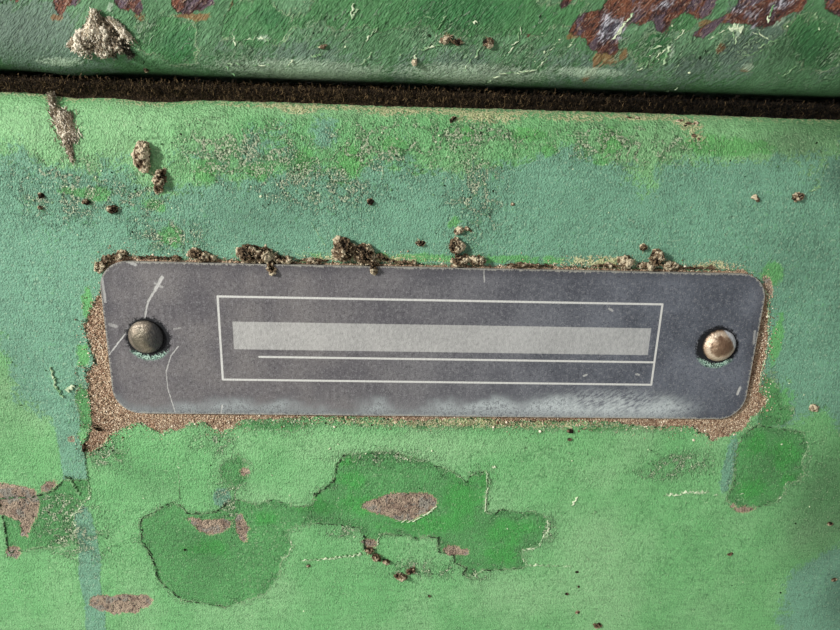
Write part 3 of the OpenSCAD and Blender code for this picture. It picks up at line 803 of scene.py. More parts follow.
def span(tree, first, second):
    """Length of the straight line that goes so far one way and so far square to it."""
    squares = calc(tree, "MULTIPLY_ADD", first, first, calc(tree, "MULTIPLY", second, second))
    return calc(tree, "SQRT", squares)


def from_box(tree, axes, middle_x, middle_z, half_w, half_h, corner):
    """Distance in mm from a box's outline, negative inside."""
    off_x = calc(tree, "ABSOLUTE", calc(tree, "SUBTRACT", axes[0], middle_x))
    off_z = calc(tree, "ABSOLUTE", calc(tree, "SUBTRACT", axes[2], middle_z))
    out_x = calc(tree, "SUBTRACT", off_x, half_w - corner)
    out_z = calc(tree, "SUBTRACT", off_z, half_h - corner)
    past = span(tree, calc(tree, "MAXIMUM", out_x, 0.0), calc(tree, "MAXIMUM", out_z, 0.0))
    inner = calc(tree, "MINIMUM", calc(tree, "MAXIMUM", out_x, out_z), 0.0)
    return calc(tree, "SUBTRACT", calc(tree, "ADD", past, inner), corner)


def from_line(tree, axes, x0, z0, x1, z1):
    """Distance in mm from a straight stroke."""
    run_x, run_z = x1 - x0, z1 - z0
    length = run_x ** 2 + run_z ** 2
    off_x, off_z = calc(tree, "SUBTRACT", axes[0], x0), calc(tree, "SUBTRACT", axes[2], z0)
    along = calc(tree, "MULTIPLY_ADD", off_x, run_x / length, calc(tree, "MULTIPLY", off_z, run_z / length))
    along = put(tree, "ShaderNodeClamp", {0: along}).outputs[0]
    return span(tree, calc(tree, "MULTIPLY_ADD", along, -run_x, off_x),
                calc(tree, "MULTIPLY_ADD", along, -run_z, off_z))


def refinish(node, finish):
    """Puts a finish in place of the one that a CAD node came with."""
    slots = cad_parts[node].data.materials
    for index in range(len(slots)):
        slots[index] = finish


blotch = noise(p, where, 0.12, 3, 0.6)
grain = noise(p, where, 1.6, 2, 0.6)
speck = noise(p, where, 4.5, 1)
rough_noise = calc(p, "ADD", grain, speck)
rightward = fade(p, axes[0], -30, 44)
face = mix(p, fade(p, blotch, -0.8, 0.8), mix(p, rightward, tint(94, 90, 92), tint(75, 79, 87)),
           mix(p, rightward, tint(116, 111, 109), tint(102, 106, 114)))
face = mix(p, fade(p, rough_noise, 0.1, 1.0, 0.0, 0.4), face, tint(150, 148, 148))
face = mix(p, fade(p, rough_noise, -0.3, -1.0, 0.0, 0.5), face, tint(52, 50, 54))

# Along the lower edge lies a pale band of painted sheen, reflected sky, partly rubbed wear, except at its
# right end.
low_edge = calc(p, "MULTIPLY_ADD", rough_noise, 0.9, calc(p, "MULTIPLY_ADD", blotch, 2.4, axes[2]))
low_edge = fade(p, calc(p, "MULTIPLY_ADD", axes[0], -0.02, low_edge), -9.4, -12.0)
rubbed = calc(p, "MULTIPLY", fade(p, rough_noise, -0.9, 0.7, 0.3, 1.0), fade(p, axes[0], 48, 38))
face = mix(p, calc(p, "MULTIPLY", low_edge, rubbed), face,
           mix(p, rightward, tint(160, 166, 164), tint(190, 197, 195)))

ruled_box = calc(p, "ABSOLUTE", from_box(p, axes, 0.6, 0.45, 36.3, 7.15, 0.0))
inner_rule = from_line(p, axes, -29.5, -2.6, 36.9, -2.6)
pale_field = from_box(p, axes, 1.0, 1.05, 34.6, 2.4, 0.0)
field_grain = calc(p, "ADD", calc(p, "MULTIPLY", blotch, 0.6), grain)
ink = calc(p, "MULTIPLY", fade(p, pale_field, 0.05, -0.1), fade(p, field_grain, -1.6, 1.2, 0.42, 0.6))
for rule in (ruled_box, inner_rule):
    ink = calc(p, "MAXIMUM", ink, fade(p, calc(p, "MULTIPLY_ADD", grain, 0.02, rule), 0.22, 0.12))
ink = calc(p, "MULTIPLY", ink, fade(p, rough_noise, -1.9, -1.1, 0.35, 0.92))
face = mix(p, ink, face, tint(214, 212, 204))

SCRATCHES = [
    # x, z of each end, half width, strength
    (-44.2, 10.6, -45.5, 8.5, 0.3, 0.75), (-45.5, 8.5, -46.8, 6.5, 0.2, 0.65),
    (-46.8, 6.5, -47.6, 3.7, 0.16, 0.65), (-45.4, 9.6, -44.4, 9.0, 0.25, 0.45),
    (-50.8, 1.2, -53.8, -2.5, 0.13, 0.75), (-42.6, -1, -43.9, -2.6, 0.12, 0.55),
    (-43.9, -2.6, -44.9, -5.4, 0.1, 0.55), (-44.9, -5.4, -44.9, -8.4, 0.1, 0.5),
    (-44.9, -8.4, -44.0, -12.9, 0.1, 0.6), (-43, 2.0, -42.0, 2.2, 0.16, 0.3),
    (-49.2, 13, -48.2, 12.5, 0.3, 0.8), (-53.6, 10.2, -53.5, 6.4, 0.24, 0.7),
    (53.3, 3.2, 53.5, 1.0, 0.22, 0.6), (52.6, -7.0, 52.3, -8.2, 0.25, 0.7),
    (-53.2, 2.6, -52.2, 2.3, 0.3, 0.4), (-36.4, -12.9, -36.1, -11.4, 0.16, 0.7),
    (28, 6.7, 28.6, 6.4, 0.2, 0.5), (34, -4.8, 34.6, -4.9, 0.2, 0.5),
    (25, -5.2, 25.5, -5.0, 0.18, 0.6), (6.9, 12.9, 7.1, 10.8, 0.14, 0.5),
]
scratched = 0.0
for x0, z0, x1, z1, half_w, strength in SCRATCHES:
    stroke = calc(p, "MULTIPLY_ADD", grain, 0.09, from_line(p, axes, x0, z0, x1, z1))
    scratched = calc(p, "MAXIMUM", scratched, fade(p, stroke, half_w * 1.3, half_w * 0.4, 0.0, strength))
face = mix(p, scratched, face, tint(206, 204, 196))

# Grit has scuffed the lower right, in short strokes that lean to the right.
leaned = put(p, "ShaderNodeMapping", {"Vector": where, "Rotation": (0, math.radians(34), 0)}).outputs[0]
drawn = put(p, "ShaderNodeMapping", {"Vector": leaned, "Scale": (0.7, 1, 2.4)}).outputs[0]
scuff = noise(p, drawn, 1.0, 3, 0.7)
scuff_place = put(p, "ShaderNodeMapping", {"Vector": where, "Location": (-1.7, 0, 2.6),
                                           "Scale": (0.056, 0, 0.24)}).outputs[0]
from_scuff = put(p, "ShaderNodeVectorMath", {0: scuff_place}, operation="LENGTH").outputs["Value"]
scuffed = calc(p, "MULTIPLY", fade(p, from_scuff, 1.1, 0.1), fade(p, scuff, -0.5, 0.5))
face = mix(p, calc(p, "MULTIPLY", scuffed, 0.66), face, tint(204, 210, 206))

# Painted shadow rings the rivets, widest on the side towards the middle, with green paint left low in it.
ring_side = calc(p, "SUBTRACT", calc(p, "ABSOLUTE", axes[0]), RIVET_X - 0.325)
ring_level = calc(p, "SUBTRACT", axes[2], RIVET_Z - 0.3)
ring = calc(p, "MULTIPLY_ADD", rough_noise, 0.22, span(p, ring_side, ring_level))
grimy_ring = fade(p, ring, 3.9, 3.4, 0.0, 0.95)
face = mix(p, grimy_ring, face, tint(8, 10, 13))
paint_ring = fade(p, calc(p, "ABSOLUTE", calc(p, "SUBTRACT", ring, 3.45)), 0.55, 0.2)
paint_low = fade(p, calc(p, "MULTIPLY_ADD", grain, 0.5, ring_level), -1.9, -2.5)
paint_left = calc(p, "MULTIPLY", calc(p, "MULTIPLY", paint_ring, paint_low),
                  fade(p, rough_noise, -0.5, 0.3, 0.25, 0.9))
face = mix(p, paint_left, face, mix(p, fade(p, speck, -0.4, 0.4), tint(92, 132, 112), tint(178, 206, 186)))

from_edge = from_box(p, axes, 0, 0, plate_high.x / MM, (plate_high.z - PLATE_Z) / MM, PLATE_CORNER)
edge_gap = calc(p, "MULTIPLY", from_edge, -1.0)
worn = calc(p, "MULTIPLY_ADD", rough_noise, -0.22, edge_gap)
face = mix(p, fade(p, worn, 0.3, 0.06, 0.0, 0.8), face, tint(186, 182, 168))
near_edge = fade(p, calc(p, "MULTIPLY_ADD", grain, -0.5, edge_gap), 1.8, 0.3, 0.0, 0.3)
face = mix(p, near_edge, face, tint(44, 42, 48))
face = mix(p, fade(p, rough_noise, 1.9, 2.3, 0.0, 0.5), face, tint(170, 168, 168))
face = mix(p, fade(p, rough_noise, -1.5, -2.3, 0.0, 0.5), face, tint(40, 38, 42))
p.links.new(face, plate_shader.inputs["Base Color"])
rough = calc(p, "MAXIMUM", fade(p, blotch, -1.0, 1.0, 0.38, 0.55), grimy_ring)
p.links.new(rough, plate_shader.inputs["Roughness"])
plate_shader.inputs["Specular IOR Level"].default_value = 0.4
plate_height = calc(p, "MULTIPLY_ADD", speck, 0.012, calc(p, "MULTIPLY", scratched, -0.05))
emboss(p, plate_shader, calc(p, "MULTIPLY_ADD", grain, 0.02, plate_height))
refinish("id_plate", plate_finish)


# Drive rivets
# Two fluted bronze-coloured rivets, hammered into the rail, hold the plate. Their crowns have browned, and
# their rims are rubbed bright. The left one is the darker, and painted shade lies on its right side; the
# right one carries a painted highlight on its upper right rim, and both have painted shade round the base of
# the head.
rivet_finish, r, rivet_shader = new_finish("rivet_bronze")
where = in_millimetres(r)
axes = put(r, "ShaderNodeSeparateXYZ", {0: where}).outputs
from_centre = calc(r, "SUBTRACT", calc(r, "ABSOLUTE", axes[0]), RIVET_X)
from_level = calc(r, "SUBTRACT", axes[2], RIVET_Z)
ring = span(r, from_centre, from_level)
patch = noise(r, where, 0.7, 3, 0.6)
pits = noise(r, where, 2.6, 2, 0.6)
is_right = fade(r, axes[0], -10, 10)
is_left = calc(r, "SUBTRACT", 1.0, is_right)
metal = mix(r, fade(r, patch, -1.0, 1.0), mix(r, is_right, tint(86, 78, 70), tint(132, 104, 82)),
            mix(r, is_right, tint(134, 122, 104), tint(196, 168, 140)))
metal = mix(r, fade(r, pits, 0.3, 1.4, 0.0, 0.6), metal, tint(214, 200, 182))
metal = mix(r, fade(r, pits, -0.5, -1.4, 0.0, 0.7), metal, tint(74, 62, 52))
crown = fade(r, calc(r, "MULTIPLY_ADD", patch, 0.8, ring), 2.2, 1.0, 0.0, 0.75)
metal = mix(r, crown, metal, mix(r, is_right, tint(112, 104, 86), tint(112, 82, 60)))
from_rub = calc(r, "SUBTRACT", calc(r, "MULTIPLY_ADD", patch, 0.3, ring), 2.25)
rubbed = fade(r, calc(r, "ABSOLUTE", from_rub), 0.5, 0.1)
rub_strength = mix(r, is_right, (0.15, 0.15, 0.15, 1), (0.7, 0.7, 0.7, 1))
metal = mix(r, calc(r, "MULTIPLY", rubbed, rub_strength), metal, tint(232, 212, 186))
# Painted shade on the left rivet's right side, away from the lamp.
shade = fade(r, calc(r, "MULTIPLY_ADD", patch, 0.5, from_centre), 0.2, -1.8, 0.0, 0.85)
metal = mix(r, calc(r, "MULTIPLY", shade, is_left), metal, tint(54, 58, 62))
# Painted highlight: a bright glint of reflected light on the right rivet's upper right rim.
glint = fade(r, calc(r, "MULTIPLY_ADD", from_level, 0.7, from_centre), 1.9, 2.5)
glint = calc(r, "MULTIPLY", calc(r, "MULTIPLY", glint, is_right), fade(r, ring, 1.6, 2.1, 0.0, 0.8))
metal = mix(r, glint, metal, tint(236, 240, 244))
# Painted shade: a dark ring round the base of each head.
foot = fade(r, calc(r, "MULTIPLY_ADD", pits, 0.1, ring), 2.62, 2.82, 0.0, 0.85)
metal = mix(r, foot, metal, tint(36, 34, 32))
r.links.new(metal, rivet_shader.inputs["Base Color"])
r.links.new(fade(r, patch, -1, 1, 0.42, 0.6), rivet_shader.inputs["Roughness"])
rivet_shader.inputs["Metallic"].default_value = 0.6
emboss(r, rivet_shader, calc(r, "MULTIPLY_ADD", pits, 0.03, calc(r, "MULTIPLY", patch, 0.06)))
refinish("rivet_left", rivet_finish)
refinish("rivet_right", rivet_finish)


# Bolts and packers
# Zinc-plated bolts, washers and nuts with thin packers hold the two rails a little apart.
# The zinc is dull and spotted with rust.
PLAIN_METALS = {
    # material: (colour, second colour, rust share, nodes)
    "zinc_steel": ((150, 152, 148), (118, 120, 118), 0.9,
                   ("bolt", "washer_top", "washer_under", "nut")),
    "packer_steel": ((104, 92, 76), (70, 60, 50), 0.2, ("packer",)),
}
for finish_name, (first, second, rust_from, nodes) in PLAIN_METALS.items():
    finish, tree, shader = new_finish(finish_name)
    where = in_millimetres(tree)
    cloudy, speckle = noise(tree, where, 0.25, 3, 0.6), noise(tree, where, 1.8, 2, 0.6)
    dull = mix(tree, fade(tree, cloudy, -1.2, 1.2), tint(*first), tint(*second))
    rusty = fade(tree, calc(tree, "ADD", cloudy, speckle), rust_from, rust_from + 0.5)
    dull = mix(tree, rusty, dull, mix(tree, fade(tree, speckle, -1, 1), tint(96, 58, 38), tint(150, 98, 62)))
    tree.links.new(dull, shader.inputs["Base Color"])
    tree.links.new(fade(tree, rusty, 0, 1, 0.45, 0.85), shader.inputs["Roughness"])
    tree.links.new(fade(tree, rusty, 0, 1, 0.7, 0.0), shader.inputs["Metallic"])
    emboss(tree, shader, calc(tree, "MULTIPLY_ADD", rusty, 0.05, calc(tree, "MULTIPLY", speckle, 0.02)))
    for node in nodes:
        for side in ("left", "right"):
            refinish(f"{node}_{side}", finish)


# Seam packing
# Years of blown dust, chaff and cotton lint have packed into the seam between the rails. It
# lies a few millimetres back, with a fuzzy brown front.
PACK_FRONT = FACE_Y + 3.4
PACK_HALF = 149.6         # half length of the packing, mm
PACK_BULK = 2.75          # how far its front swells up, mm
bpy.ops.object.select_all(action="DESELECT")
bpy.ops.mesh.primitive_grid_add(x_subdivisions=620, y_subdivisions=14, size=1)
packing = bpy.context.object
packing.name = "seam_packing"
across, round_share, _ = points_of(packing.data).T
along_x = across * 2 * PACK_HALF
bend_angle = (round_share + 0.5) * math.radians(105)
bulk = PACK_BULK + 0.2 * waves(along_x, round_share * 9, 5, 301)
bulk += 0.3 * waves(along_x, round_share * 9, 0.8, 305)
move_points(packing.data, along_x,
            PACK_FRONT + 4.4 - 3.6 * np.cos(bend_angle) - 0.7 * (bulk - PACK_BULK),
            RAIL_TOP - 0.9 + (0.65 + bulk) * np.sin(bend_angle))
bpy.ops.object.mode_set(mode="EDIT")
bpy.ops.mesh.select_all(action="SELECT")
bpy.ops.mesh.normals_make_consistent(inside=False)
bpy.ops.object.mode_set(mode="OBJECT")
if packing.data.polygons[3000].normal.y > 0:
    packing.data.flip_normals()
bpy.ops.object.shade_smooth()


def dirt(name, dark, middle, pale, rise=0.12, contrast=1.0):
    """A crumbly earth and lint finish. Copies with a shade attribute each get their own tone."""
    finish, tree, shader = new_finish(name)
    where = in_millimetres(tree)
    lumps, crumb = noise(tree, where, 0.9, 3, 0.7), noise(tree, where, 3.2, 2, 0.6)
    shade = put(tree, "ShaderNodeAttribute", attribute_name="shade").outputs["Fac"]
    tone = calc(tree, "MULTIPLY_ADD", crumb, 0.7 * contrast, calc(tree, "MULTIPLY_ADD", shade, 1.6, lumps))
    earth = mix(tree, fade(tree, tone, -1.3, 0.3), tint(*dark), tint(*middle))
    earth = mix(tree, fade(tree, tone, 0.5, 2.0), earth, tint(*pale))
    tree.links.new(earth, shader.inputs["Base Color"])
    shader.inputs["Roughness"].default_value = 0.9
    shader.inputs["Specular IOR Level"].default_value = 0.15
    emboss(tree, shader, calc(tree, "MULTIPLY_ADD", crumb, rise, calc(tree, "MULTIPLY", lumps, rise)))
    return finish


# Painted shade: the packing darkens towards the right, away from the lamp.
lay(packing.data, shade=0.25 - 0.75 * np.clip((along_x + 4) / 50, 0, 1))
packing.data.materials.append(dirt("packed_dust", (14, 11, 8), (52, 41, 28), (100, 82, 58), 0.2, 2.0))
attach(packing, "root")


FULL_TURN = 6.28


def cut_across(heights):
    """Cuts the new primitive across at each height, so that it can be bent there."""
    bpy.ops.object.mode_set(mode="EDIT")
    for height in heights:
        bpy.ops.mesh.select_all(action="SELECT")
        bpy.ops.mesh.bisect(plane_co=(0, 0, height), plane_no=(0, 0, 1))
    bpy.ops.object.mode_set(mode="OBJECT")


def fibre_model(bend):
    """One thin fibre of unit length along Z, three-sided and bent."""
    bpy.ops.object.select_all(action="DESELECT")
    bpy.ops.mesh.primitive_cylinder_add(vertices=3, radius=1, depth=1, end_fill_type="NOTHING")
    fibre = bpy.context.object
    cut_across((-0.2, 0.2))
    points = points_of(fibre.data)
    points[:, :2] *= 0.012
    points[:, 0] += bend * (points[:, 2] ** 2 - 0.08)
    set_points(fibre.data, points)
    return fibre


def fibre_sizes(thickness, lengths):
    """Sizes of fibres as thick as each other, in the columns that strew takes."""
    return np.stack([np.full(len(lengths), thickness), np.full(len(lengths), thickness), lengths], 1)


def strew(name, models, spots, turns, sizes, shades):
    """One piece made of many copies of the modelled pieces. Spots and sizes are in millimetres
    from the middle of the plate's face, turns are 3 by 3 matrices, shades go to the finish."""
    points, faces, tones, start = [], [], [], 0
    shapes = [(points_of(model.data), [tuple(face.vertices) for face in model.data.polygons])
              for model in models]
    for number, (spot, turn, size, shade) in enumerate(zip(spots, turns, sizes, shades)):
        shape, shape_faces = shapes[number % len(shapes)]
        points.append((shape * size) @ turn.T + spot)
        faces.extend(tuple(start + corner for corner in face) for face in shape_faces)
        tones.append(np.full(len(shape), shade))
        start += len(shape)
    mesh = bpy.data.meshes.new(name)
    mesh.from_pydata(np.concatenate(points) * MM + (0, plate_low.y, PLATE_Z), [], faces)
    lay(mesh, shade=np.concatenate(tones))
    piece = bpy.data.objects.new(name, mesh)
    bpy.context.scene.collection.objects.link(piece)
    for model in models:
        bpy.data.objects.remove(model)
    return piece


def pointing(ways, roll):
    """Turns that carry Z to each way, with a roll about it."""
    ways = ways / np.linalg.norm(ways, axis=1)[:, None]
    helper = np.where(abs(ways[:, :1]) < 0.9, [[1.0, 0, 0]], [[0, 1.0, 0]])
    side = np.cross(helper, ways)
    side /= np.linalg.norm(side, axis=1)[:, None]
    third = np.cross(ways, side)
    cos, sin = np.cos(roll)[:, None], np.sin(roll)[:, None]
    return np.stack([side * cos + third * sin, third * cos - side * sin, ways], 2)


# Fibres of the packing stand out of its front in all directions.
dice = np.random.default_rng(7)
count = 6200
spots = np.stack([dice.uniform(-88, 88, count), PACK_FRONT + 0.3 + dice.uniform(-0.6, 0.9, count),
                  RAIL_TOP - 0.1 + 2.6 * dice.beta(1.2, 1.5, count)], 1)
ways = np.stack([dice.normal(0.2, 0.3, count), dice.normal(-0.5, 0.4, count),
                 dice.normal(1.1, 0.4, count)], 1)
sizes = fibre_sizes(3.4, dice.uniform(0.35, 0.95, count))
turns = pointing(ways, dice.uniform(0, FULL_TURN, count))
# Painted shade: the fibres also darken towards the right, away from the lamp.
shades = dice.normal(0.2, 0.65, count) - 0.85 * np.clip((spots[:, 0] + 4) / 50, 0, 1)
fuzz = strew("seam_fuzz", [fibre_model(0.2), fibre_model(-0.35), fibre_model(0.5)], spots, turns,
             sizes, shades)
fuzz.data.materials.append(dirt("packed_fuzz", (14, 11, 8), (56, 45, 32), (132, 108, 76)))
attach(fuzz, "root")


# Clods
# Lumps of dried earth and chaff were flung up wet and stuck to the paint, mostly along the top
# edge of the plate, where they lean on it.
CLODS = [
    # x, z, half width, half height, thickness out of the face, tilt, tone
    (-45.8, 29.1, 1.2, 2.3, 1.5, -6, 1.0), (-43.5, 25.5, 0.85, 1.9, 1.3, -20, 0.6),
    (-51.1, 21.0, 0.8, 0.7, 0.8, 0, -0.2), (-55.0, 22.0, 0.55, 0.45, 0.5, 0, -0.5),
    (-61.6, 22.8, 0.5, 0.4, 0.5, 0, -0.2), (-62.0, 21.0, 0.3, 0.3, 0.4, 0, -0.6),
    (-11.4, 23.1, 0.6, 0.5, 0.6, 0, 0.0), (-3.4, 16.8, 0.8, 0.6, 0.8, 0, 0.1),
    (-53.5, 12.5, 1.5, 0.7, 0.9, 45, 0.1), (-51.0, 13.7, 1.8, 0.6, 0.9, 10, 0.2),
    (-38.4, 14.2, 1.6, 0.9, 1.4, -8, 0.1), (-36.9, 13.6, 1.0, 0.5, 1.0, 0, -0.2),
    (-30.4, 14.7, 2.0, 1.4, 2.0, 8, 0.0), (-28.2, 14.4, 1.4, 1.2, 1.8, 0, 0.1),
    (-27.0, 12.4, 0.7, 1.3, 1.6, 25, 0.2), (-25.2, 13.9, 1.4, 0.6, 1.1, -8, 0.0),
    (-15.6, 15.6, 1.8, 1.9, 2.4, 0, 0.0), (-12.4, 14.9, 1.7, 1.5, 2.0, -20, 0.1),
    (-10.9, 12.9, 0.65, 1.3, 1.7, 22, 0.1), (-9.4, 14.3, 1.1, 0.45, 0.9, -28, -0.3),
    (2.1, 16.4, 1.1, 1.3, 1.5, 0, 0.2), (3.2, 14.3, 1.5, 0.9, 1.6, 0, 0.0),
    (5.7, 14.2, 1.5, 0.9, 1.5, 0, 0.0), (2.6, 18.9, 0.8, 0.45, 0.8, 25, 0.4),
    (4.2, 19.2, 0.7, 0.3, 0.5, -25, 0.2), (30.0, 14.6, 1.2, 1.1, 1.2, 0, 0.7),
    (32.8, 16.8, 0.55, 0.6, 0.7, 0, 0.2), (35.2, 15.3, 1.2, 1.4, 1.5, 0, 0.3),
    (37.3, 14.2, 1.3, 0.5, 0.9, 0, 0.3), (33.8, 14.0, 1.5, 0.5, 1.0, 0, 0.2),
    (27.4, 13.75, 2.8, 0.3, 0.5, 2, 0.5), (42.0, 13.7, 3.4, 0.2, 0.45, 0, 0.4),
    (-44.6, 13.6, 3.4, 0.25, 0.5, 0, 0.0), (-20.4, 13.6, 2.4, 0.25, 0.5, 0, -0.1),
    (-6.0, 13.6, 2.0, 0.2, 0.45, 0, 0.0), (14.0, 13.6, 4.0, 0.15, 0.45, 0, 0.0),
    (56.6, 25.5, 1.0, 0.6, 0.8, 15, 0.0), (50.0, 25.1, 0.8, 0.35, 0.6, -30, 0.0),
    (36.9, 36.6, 0.6, 0.3, 0.35, 10, 0.9), (38.2, 36.2, 0.8, 0.35, 0.4, -5, 0.7),
    (39.4, 36.3, 0.5, 0.3, 0.3, 20, 0.5), (37.6, 35.9, 0.4, 0.2, 0.3, 0, -0.4),
    (38.7, 34.4, 0.5, 0.35, 0.35, -15, 0.7), (39.5, 34.0, 0.35, 0.25, 0.3, 0, 0.5),
    (29.0, 36.9, 0.5, 0.2, 0.3, 0, 0.8), (30.3, 36.8, 0.4, 0.2, 0.3, 0, 0.6),
    (1.0, 35.7, 0.8, 0.3, 0.4, 40, -0.5),
    (-11.2, -40.6, 0.9, 0.7, 0.7, -40, -0.5), (-9.8, -42.0, 1.1, 0.6, 0.8, -35, -0.3),
    (-8.1, -42.8, 0.8, 0.4, 0.6, -20, 0.0), (-5.3, -46.2, 1.2, 0.6, 0.8, -10, -0.4),
    (-3.4, -44.9, 0.9, 0.5, 0.7, 40, -0.4), (-57.6, -16.2, 0.9, 0.5, 0.6, -30, -1.0),
    (-60.2, -19.8, 0.3, 0.9, 0.5, -10, -1.0), (-44.7, -40.4, 0.25, 0.2, 0.3, 0, -1.0),
    (-22.5, -43.8, 0.4, 0.3, 0.4, 0, -0.5), (0.2, -50.7, 0.3, 0.25, 0.3, 0, -0.9),
    (26.5, -50.2, 0.45, 0.35, 0.4, 0, -0.8), (28.0, -45.3, 0.5, 0.35, 0.4, 0, -0.9),
    (28.7, -48.5, 0.3, 0.3, 0.3, 0, -0.8), (29.0, -54.5, 0.5, 0.4, 0.4, 20, 0.2),
    (57.0, -41.2, 0.6, 0.3, 0.35, 10, -0.8), (75.0, -34.5, 0.5, 0.35, 0.4, 0, -0.4),
    (78.5, -47.0, 0.5, 0.4, 0.4, 0, -0.8), (24.0, -16.0, 0.6, 0.4, 0.4, 0, -0.8),
    (24.0, -17.6, 0.4, 0.25, 0.3, 0, -0.6), (33.3, -57.5, 0.9, 0.6, 0.5, 0, 0.3),
    (67.0, -11.0, 0.8, 0.7, 0.4, 0, 0.8), (11.0, 23.3, 0.3, 0.25, 0.3, 0, -0.6),
    (-45.3, 41.6, 0.4, 0.3, 0.4, 0, -0.5), (-18.4, 45.4, 0.6, 0.35, 0.5, 20, 0.2),
    (-0.4, 47.0, 1.0, 0.5, 0.8, 20, 0.3), (1.0, 46.7, 0.9, 0.35, 0.5, -10, -0.9),
    (5.7, 46.7, 0.8, 0.7, 0.8, 0, 0.1), (-5.0, 43.9, 0.35, 0.6, 0.5, 0, 1.0),
]
crumbly = bpy.data.textures.new("crumbly", "CLOUDS")
crumbly.noise_scale = 1.3 * MM
crumbly.noise_depth = 3
gritty = bpy.data.textures.new("gritty", "CLOUDS")
gritty.noise_scale = 0.42 * MM
gritty.noise_depth = 2
RAIL_BEND = 6.35          # outer bend radius of the lower rail, mm
UPPER_BEND = 5.0          # outer bend radius of the upper rail, mm
UPPER_FOOT = (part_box("upper_rail")[0].z - PLATE_Z) / MM


def skin(z):
    """How deep the rails' skin lies at each height, which goes back along their bends."""
    rise = np.clip(z - (RAIL_TOP - RAIL_BEND), 0, RAIL_BEND) * (z < RAIL_TOP + 1)
    drop = np.clip(UPPER_FOOT + UPPER_BEND - z, 0, UPPER_BEND) * (z > RAIL_TOP + 1)
    return (FACE_Y + RAIL_BEND - np.sqrt(RAIL_BEND ** 2 - rise ** 2)
            + UPPER_BEND - np.sqrt(UPPER_BEND ** 2 - drop ** 2))


def finish_with(piece, kind, **settings):
    """Adds a modifier with its settings and applies it."""
    step = piece.modifiers.new(kind.lower(), kind)
    for key, value in settings.items():
        setattr(step, key, value)
    bpy.context.view_layer.objects.active = piece
    bpy.ops.object.modifier_apply(modifier=step.name)


def stick_lumps(name, table, finish):
    """One piece of crumbly lumps, each an oval displaced at two scales, that sit on the rails."""
    lumps = []
    for lump_x, lump_z, half_w, half_h, out_by, tilt, tone in table:
        seat = (lump_x * MM, plate_low.y + float(skin(lump_z)) * MM, PLATE_Z + lump_z * MM)
        detail = 5 if half_w * half_h > 0.8 else 4 if half_w * half_h > 0.15 else 3
        bpy.ops.object.select_all(action="DESELECT")
        bpy.ops.mesh.primitive_ico_sphere_add(subdivisions=detail, radius=1, location=seat,
                                              rotation=(0, -math.radians(tilt), 0))
        lump = bpy.context.object
        lump.scale = (half_w * MM, out_by * MM, half_h * MM)
        bpy.ops.object.transform_apply(location=True, rotation=True, scale=True)
        before = np.linalg.norm(points_of(lump.data) - seat, axis=1)
        reach = min(1.0, max(half_w, half_h) * 0.75)
        for texture, strength in ((crumbly, 1.6), (gritty, 0.9)):
            finish_with(lump, "DISPLACE", texture=texture, texture_coords="GLOBAL",
                        strength=strength * reach * MM, mid_level=0.5)
        grown = (np.linalg.norm(points_of(lump.data) - seat, axis=1) - before) / MM
        # Painted shade and light: each lump is darker in its hollows and paler on its bumps.
        lay(lump.data, shade=tone * 0.6 + np.clip(grown / (0.35 * reach), -1.3, 1.3) * 1.5)
        lumps.append(lump)
    bpy.ops.object.select_all(action="DESELECT")
    for lump in lumps:
        lump.select_set(True)
    bpy.context.view_layer.objects.active = lumps[0]
    bpy.ops.object.join()
    joined = bpy.context.object
    joined.name = name
    bpy.ops.object.shade_smooth()
    joined.data.materials.append(finish)
    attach(joined, "root")


stick_lumps("clods", CLODS, dirt("dried_earth", (38, 29, 21), (126, 104, 80), (228, 210, 176), 0.2))


# Grit round the plate
# Where the paint is gone round the plate, loose grains of rusty grit and dust stick to the
# steel, thickest in the corners and under the lower edge.
PLATE_REACH = (54.1, 13.1)    # half width and half height that stay clear of loose bits, mm


def grain_model():
    """A grain of unit radius, with few faces."""
    bpy.ops.object.select_all(action="DESELECT")
    bpy.ops.mesh.primitive_ico_sphere_add(subdivisions=1, radius=1)
    return bpy.context.object


dice = np.random.default_rng(21)
tries = 44000
spot_x, spot_z = dice.uniform(-62, 60, tries), dice.uniform(-22, 16, tries)
depth = outline(spot_x, spot_z, BARE_OUTLINE)
off_plate = (abs(spot_x) > PLATE_REACH[0]) | (abs(spot_z) > PLATE_REACH[1])
kept = off_plate & (depth > -0.9 + 0.8 * dice.random(tries) - 1.6 * (dice.random(tries) > 0.9))
spot_x, spot_z = spot_x[kept], spot_z[kept]
count = len(spot_x)
radii = dice.uniform(0.05, 0.13, count) * (1 + 0.9 * (dice.random(count) > 0.96))
spots = np.stack([spot_x, FACE_Y - 0.02 * radii, spot_z], 1)
turns = pointing(dice.normal(0, 1, (count, 3)), dice.uniform(0, FULL_TURN, count))
sizes = radii[:, None] * dice.uniform(0.6, 1.3, (count, 3))
grit_piece = strew("plate_grit", [grain_model()], spots, turns, sizes, dice.uniform(-1.0, 1.2, count))
grit_piece.data.materials.append(dirt("rusty_grit", (116, 88, 68), (198, 171, 140), (250, 238, 212), 0.03))
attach(grit_piece, "root")


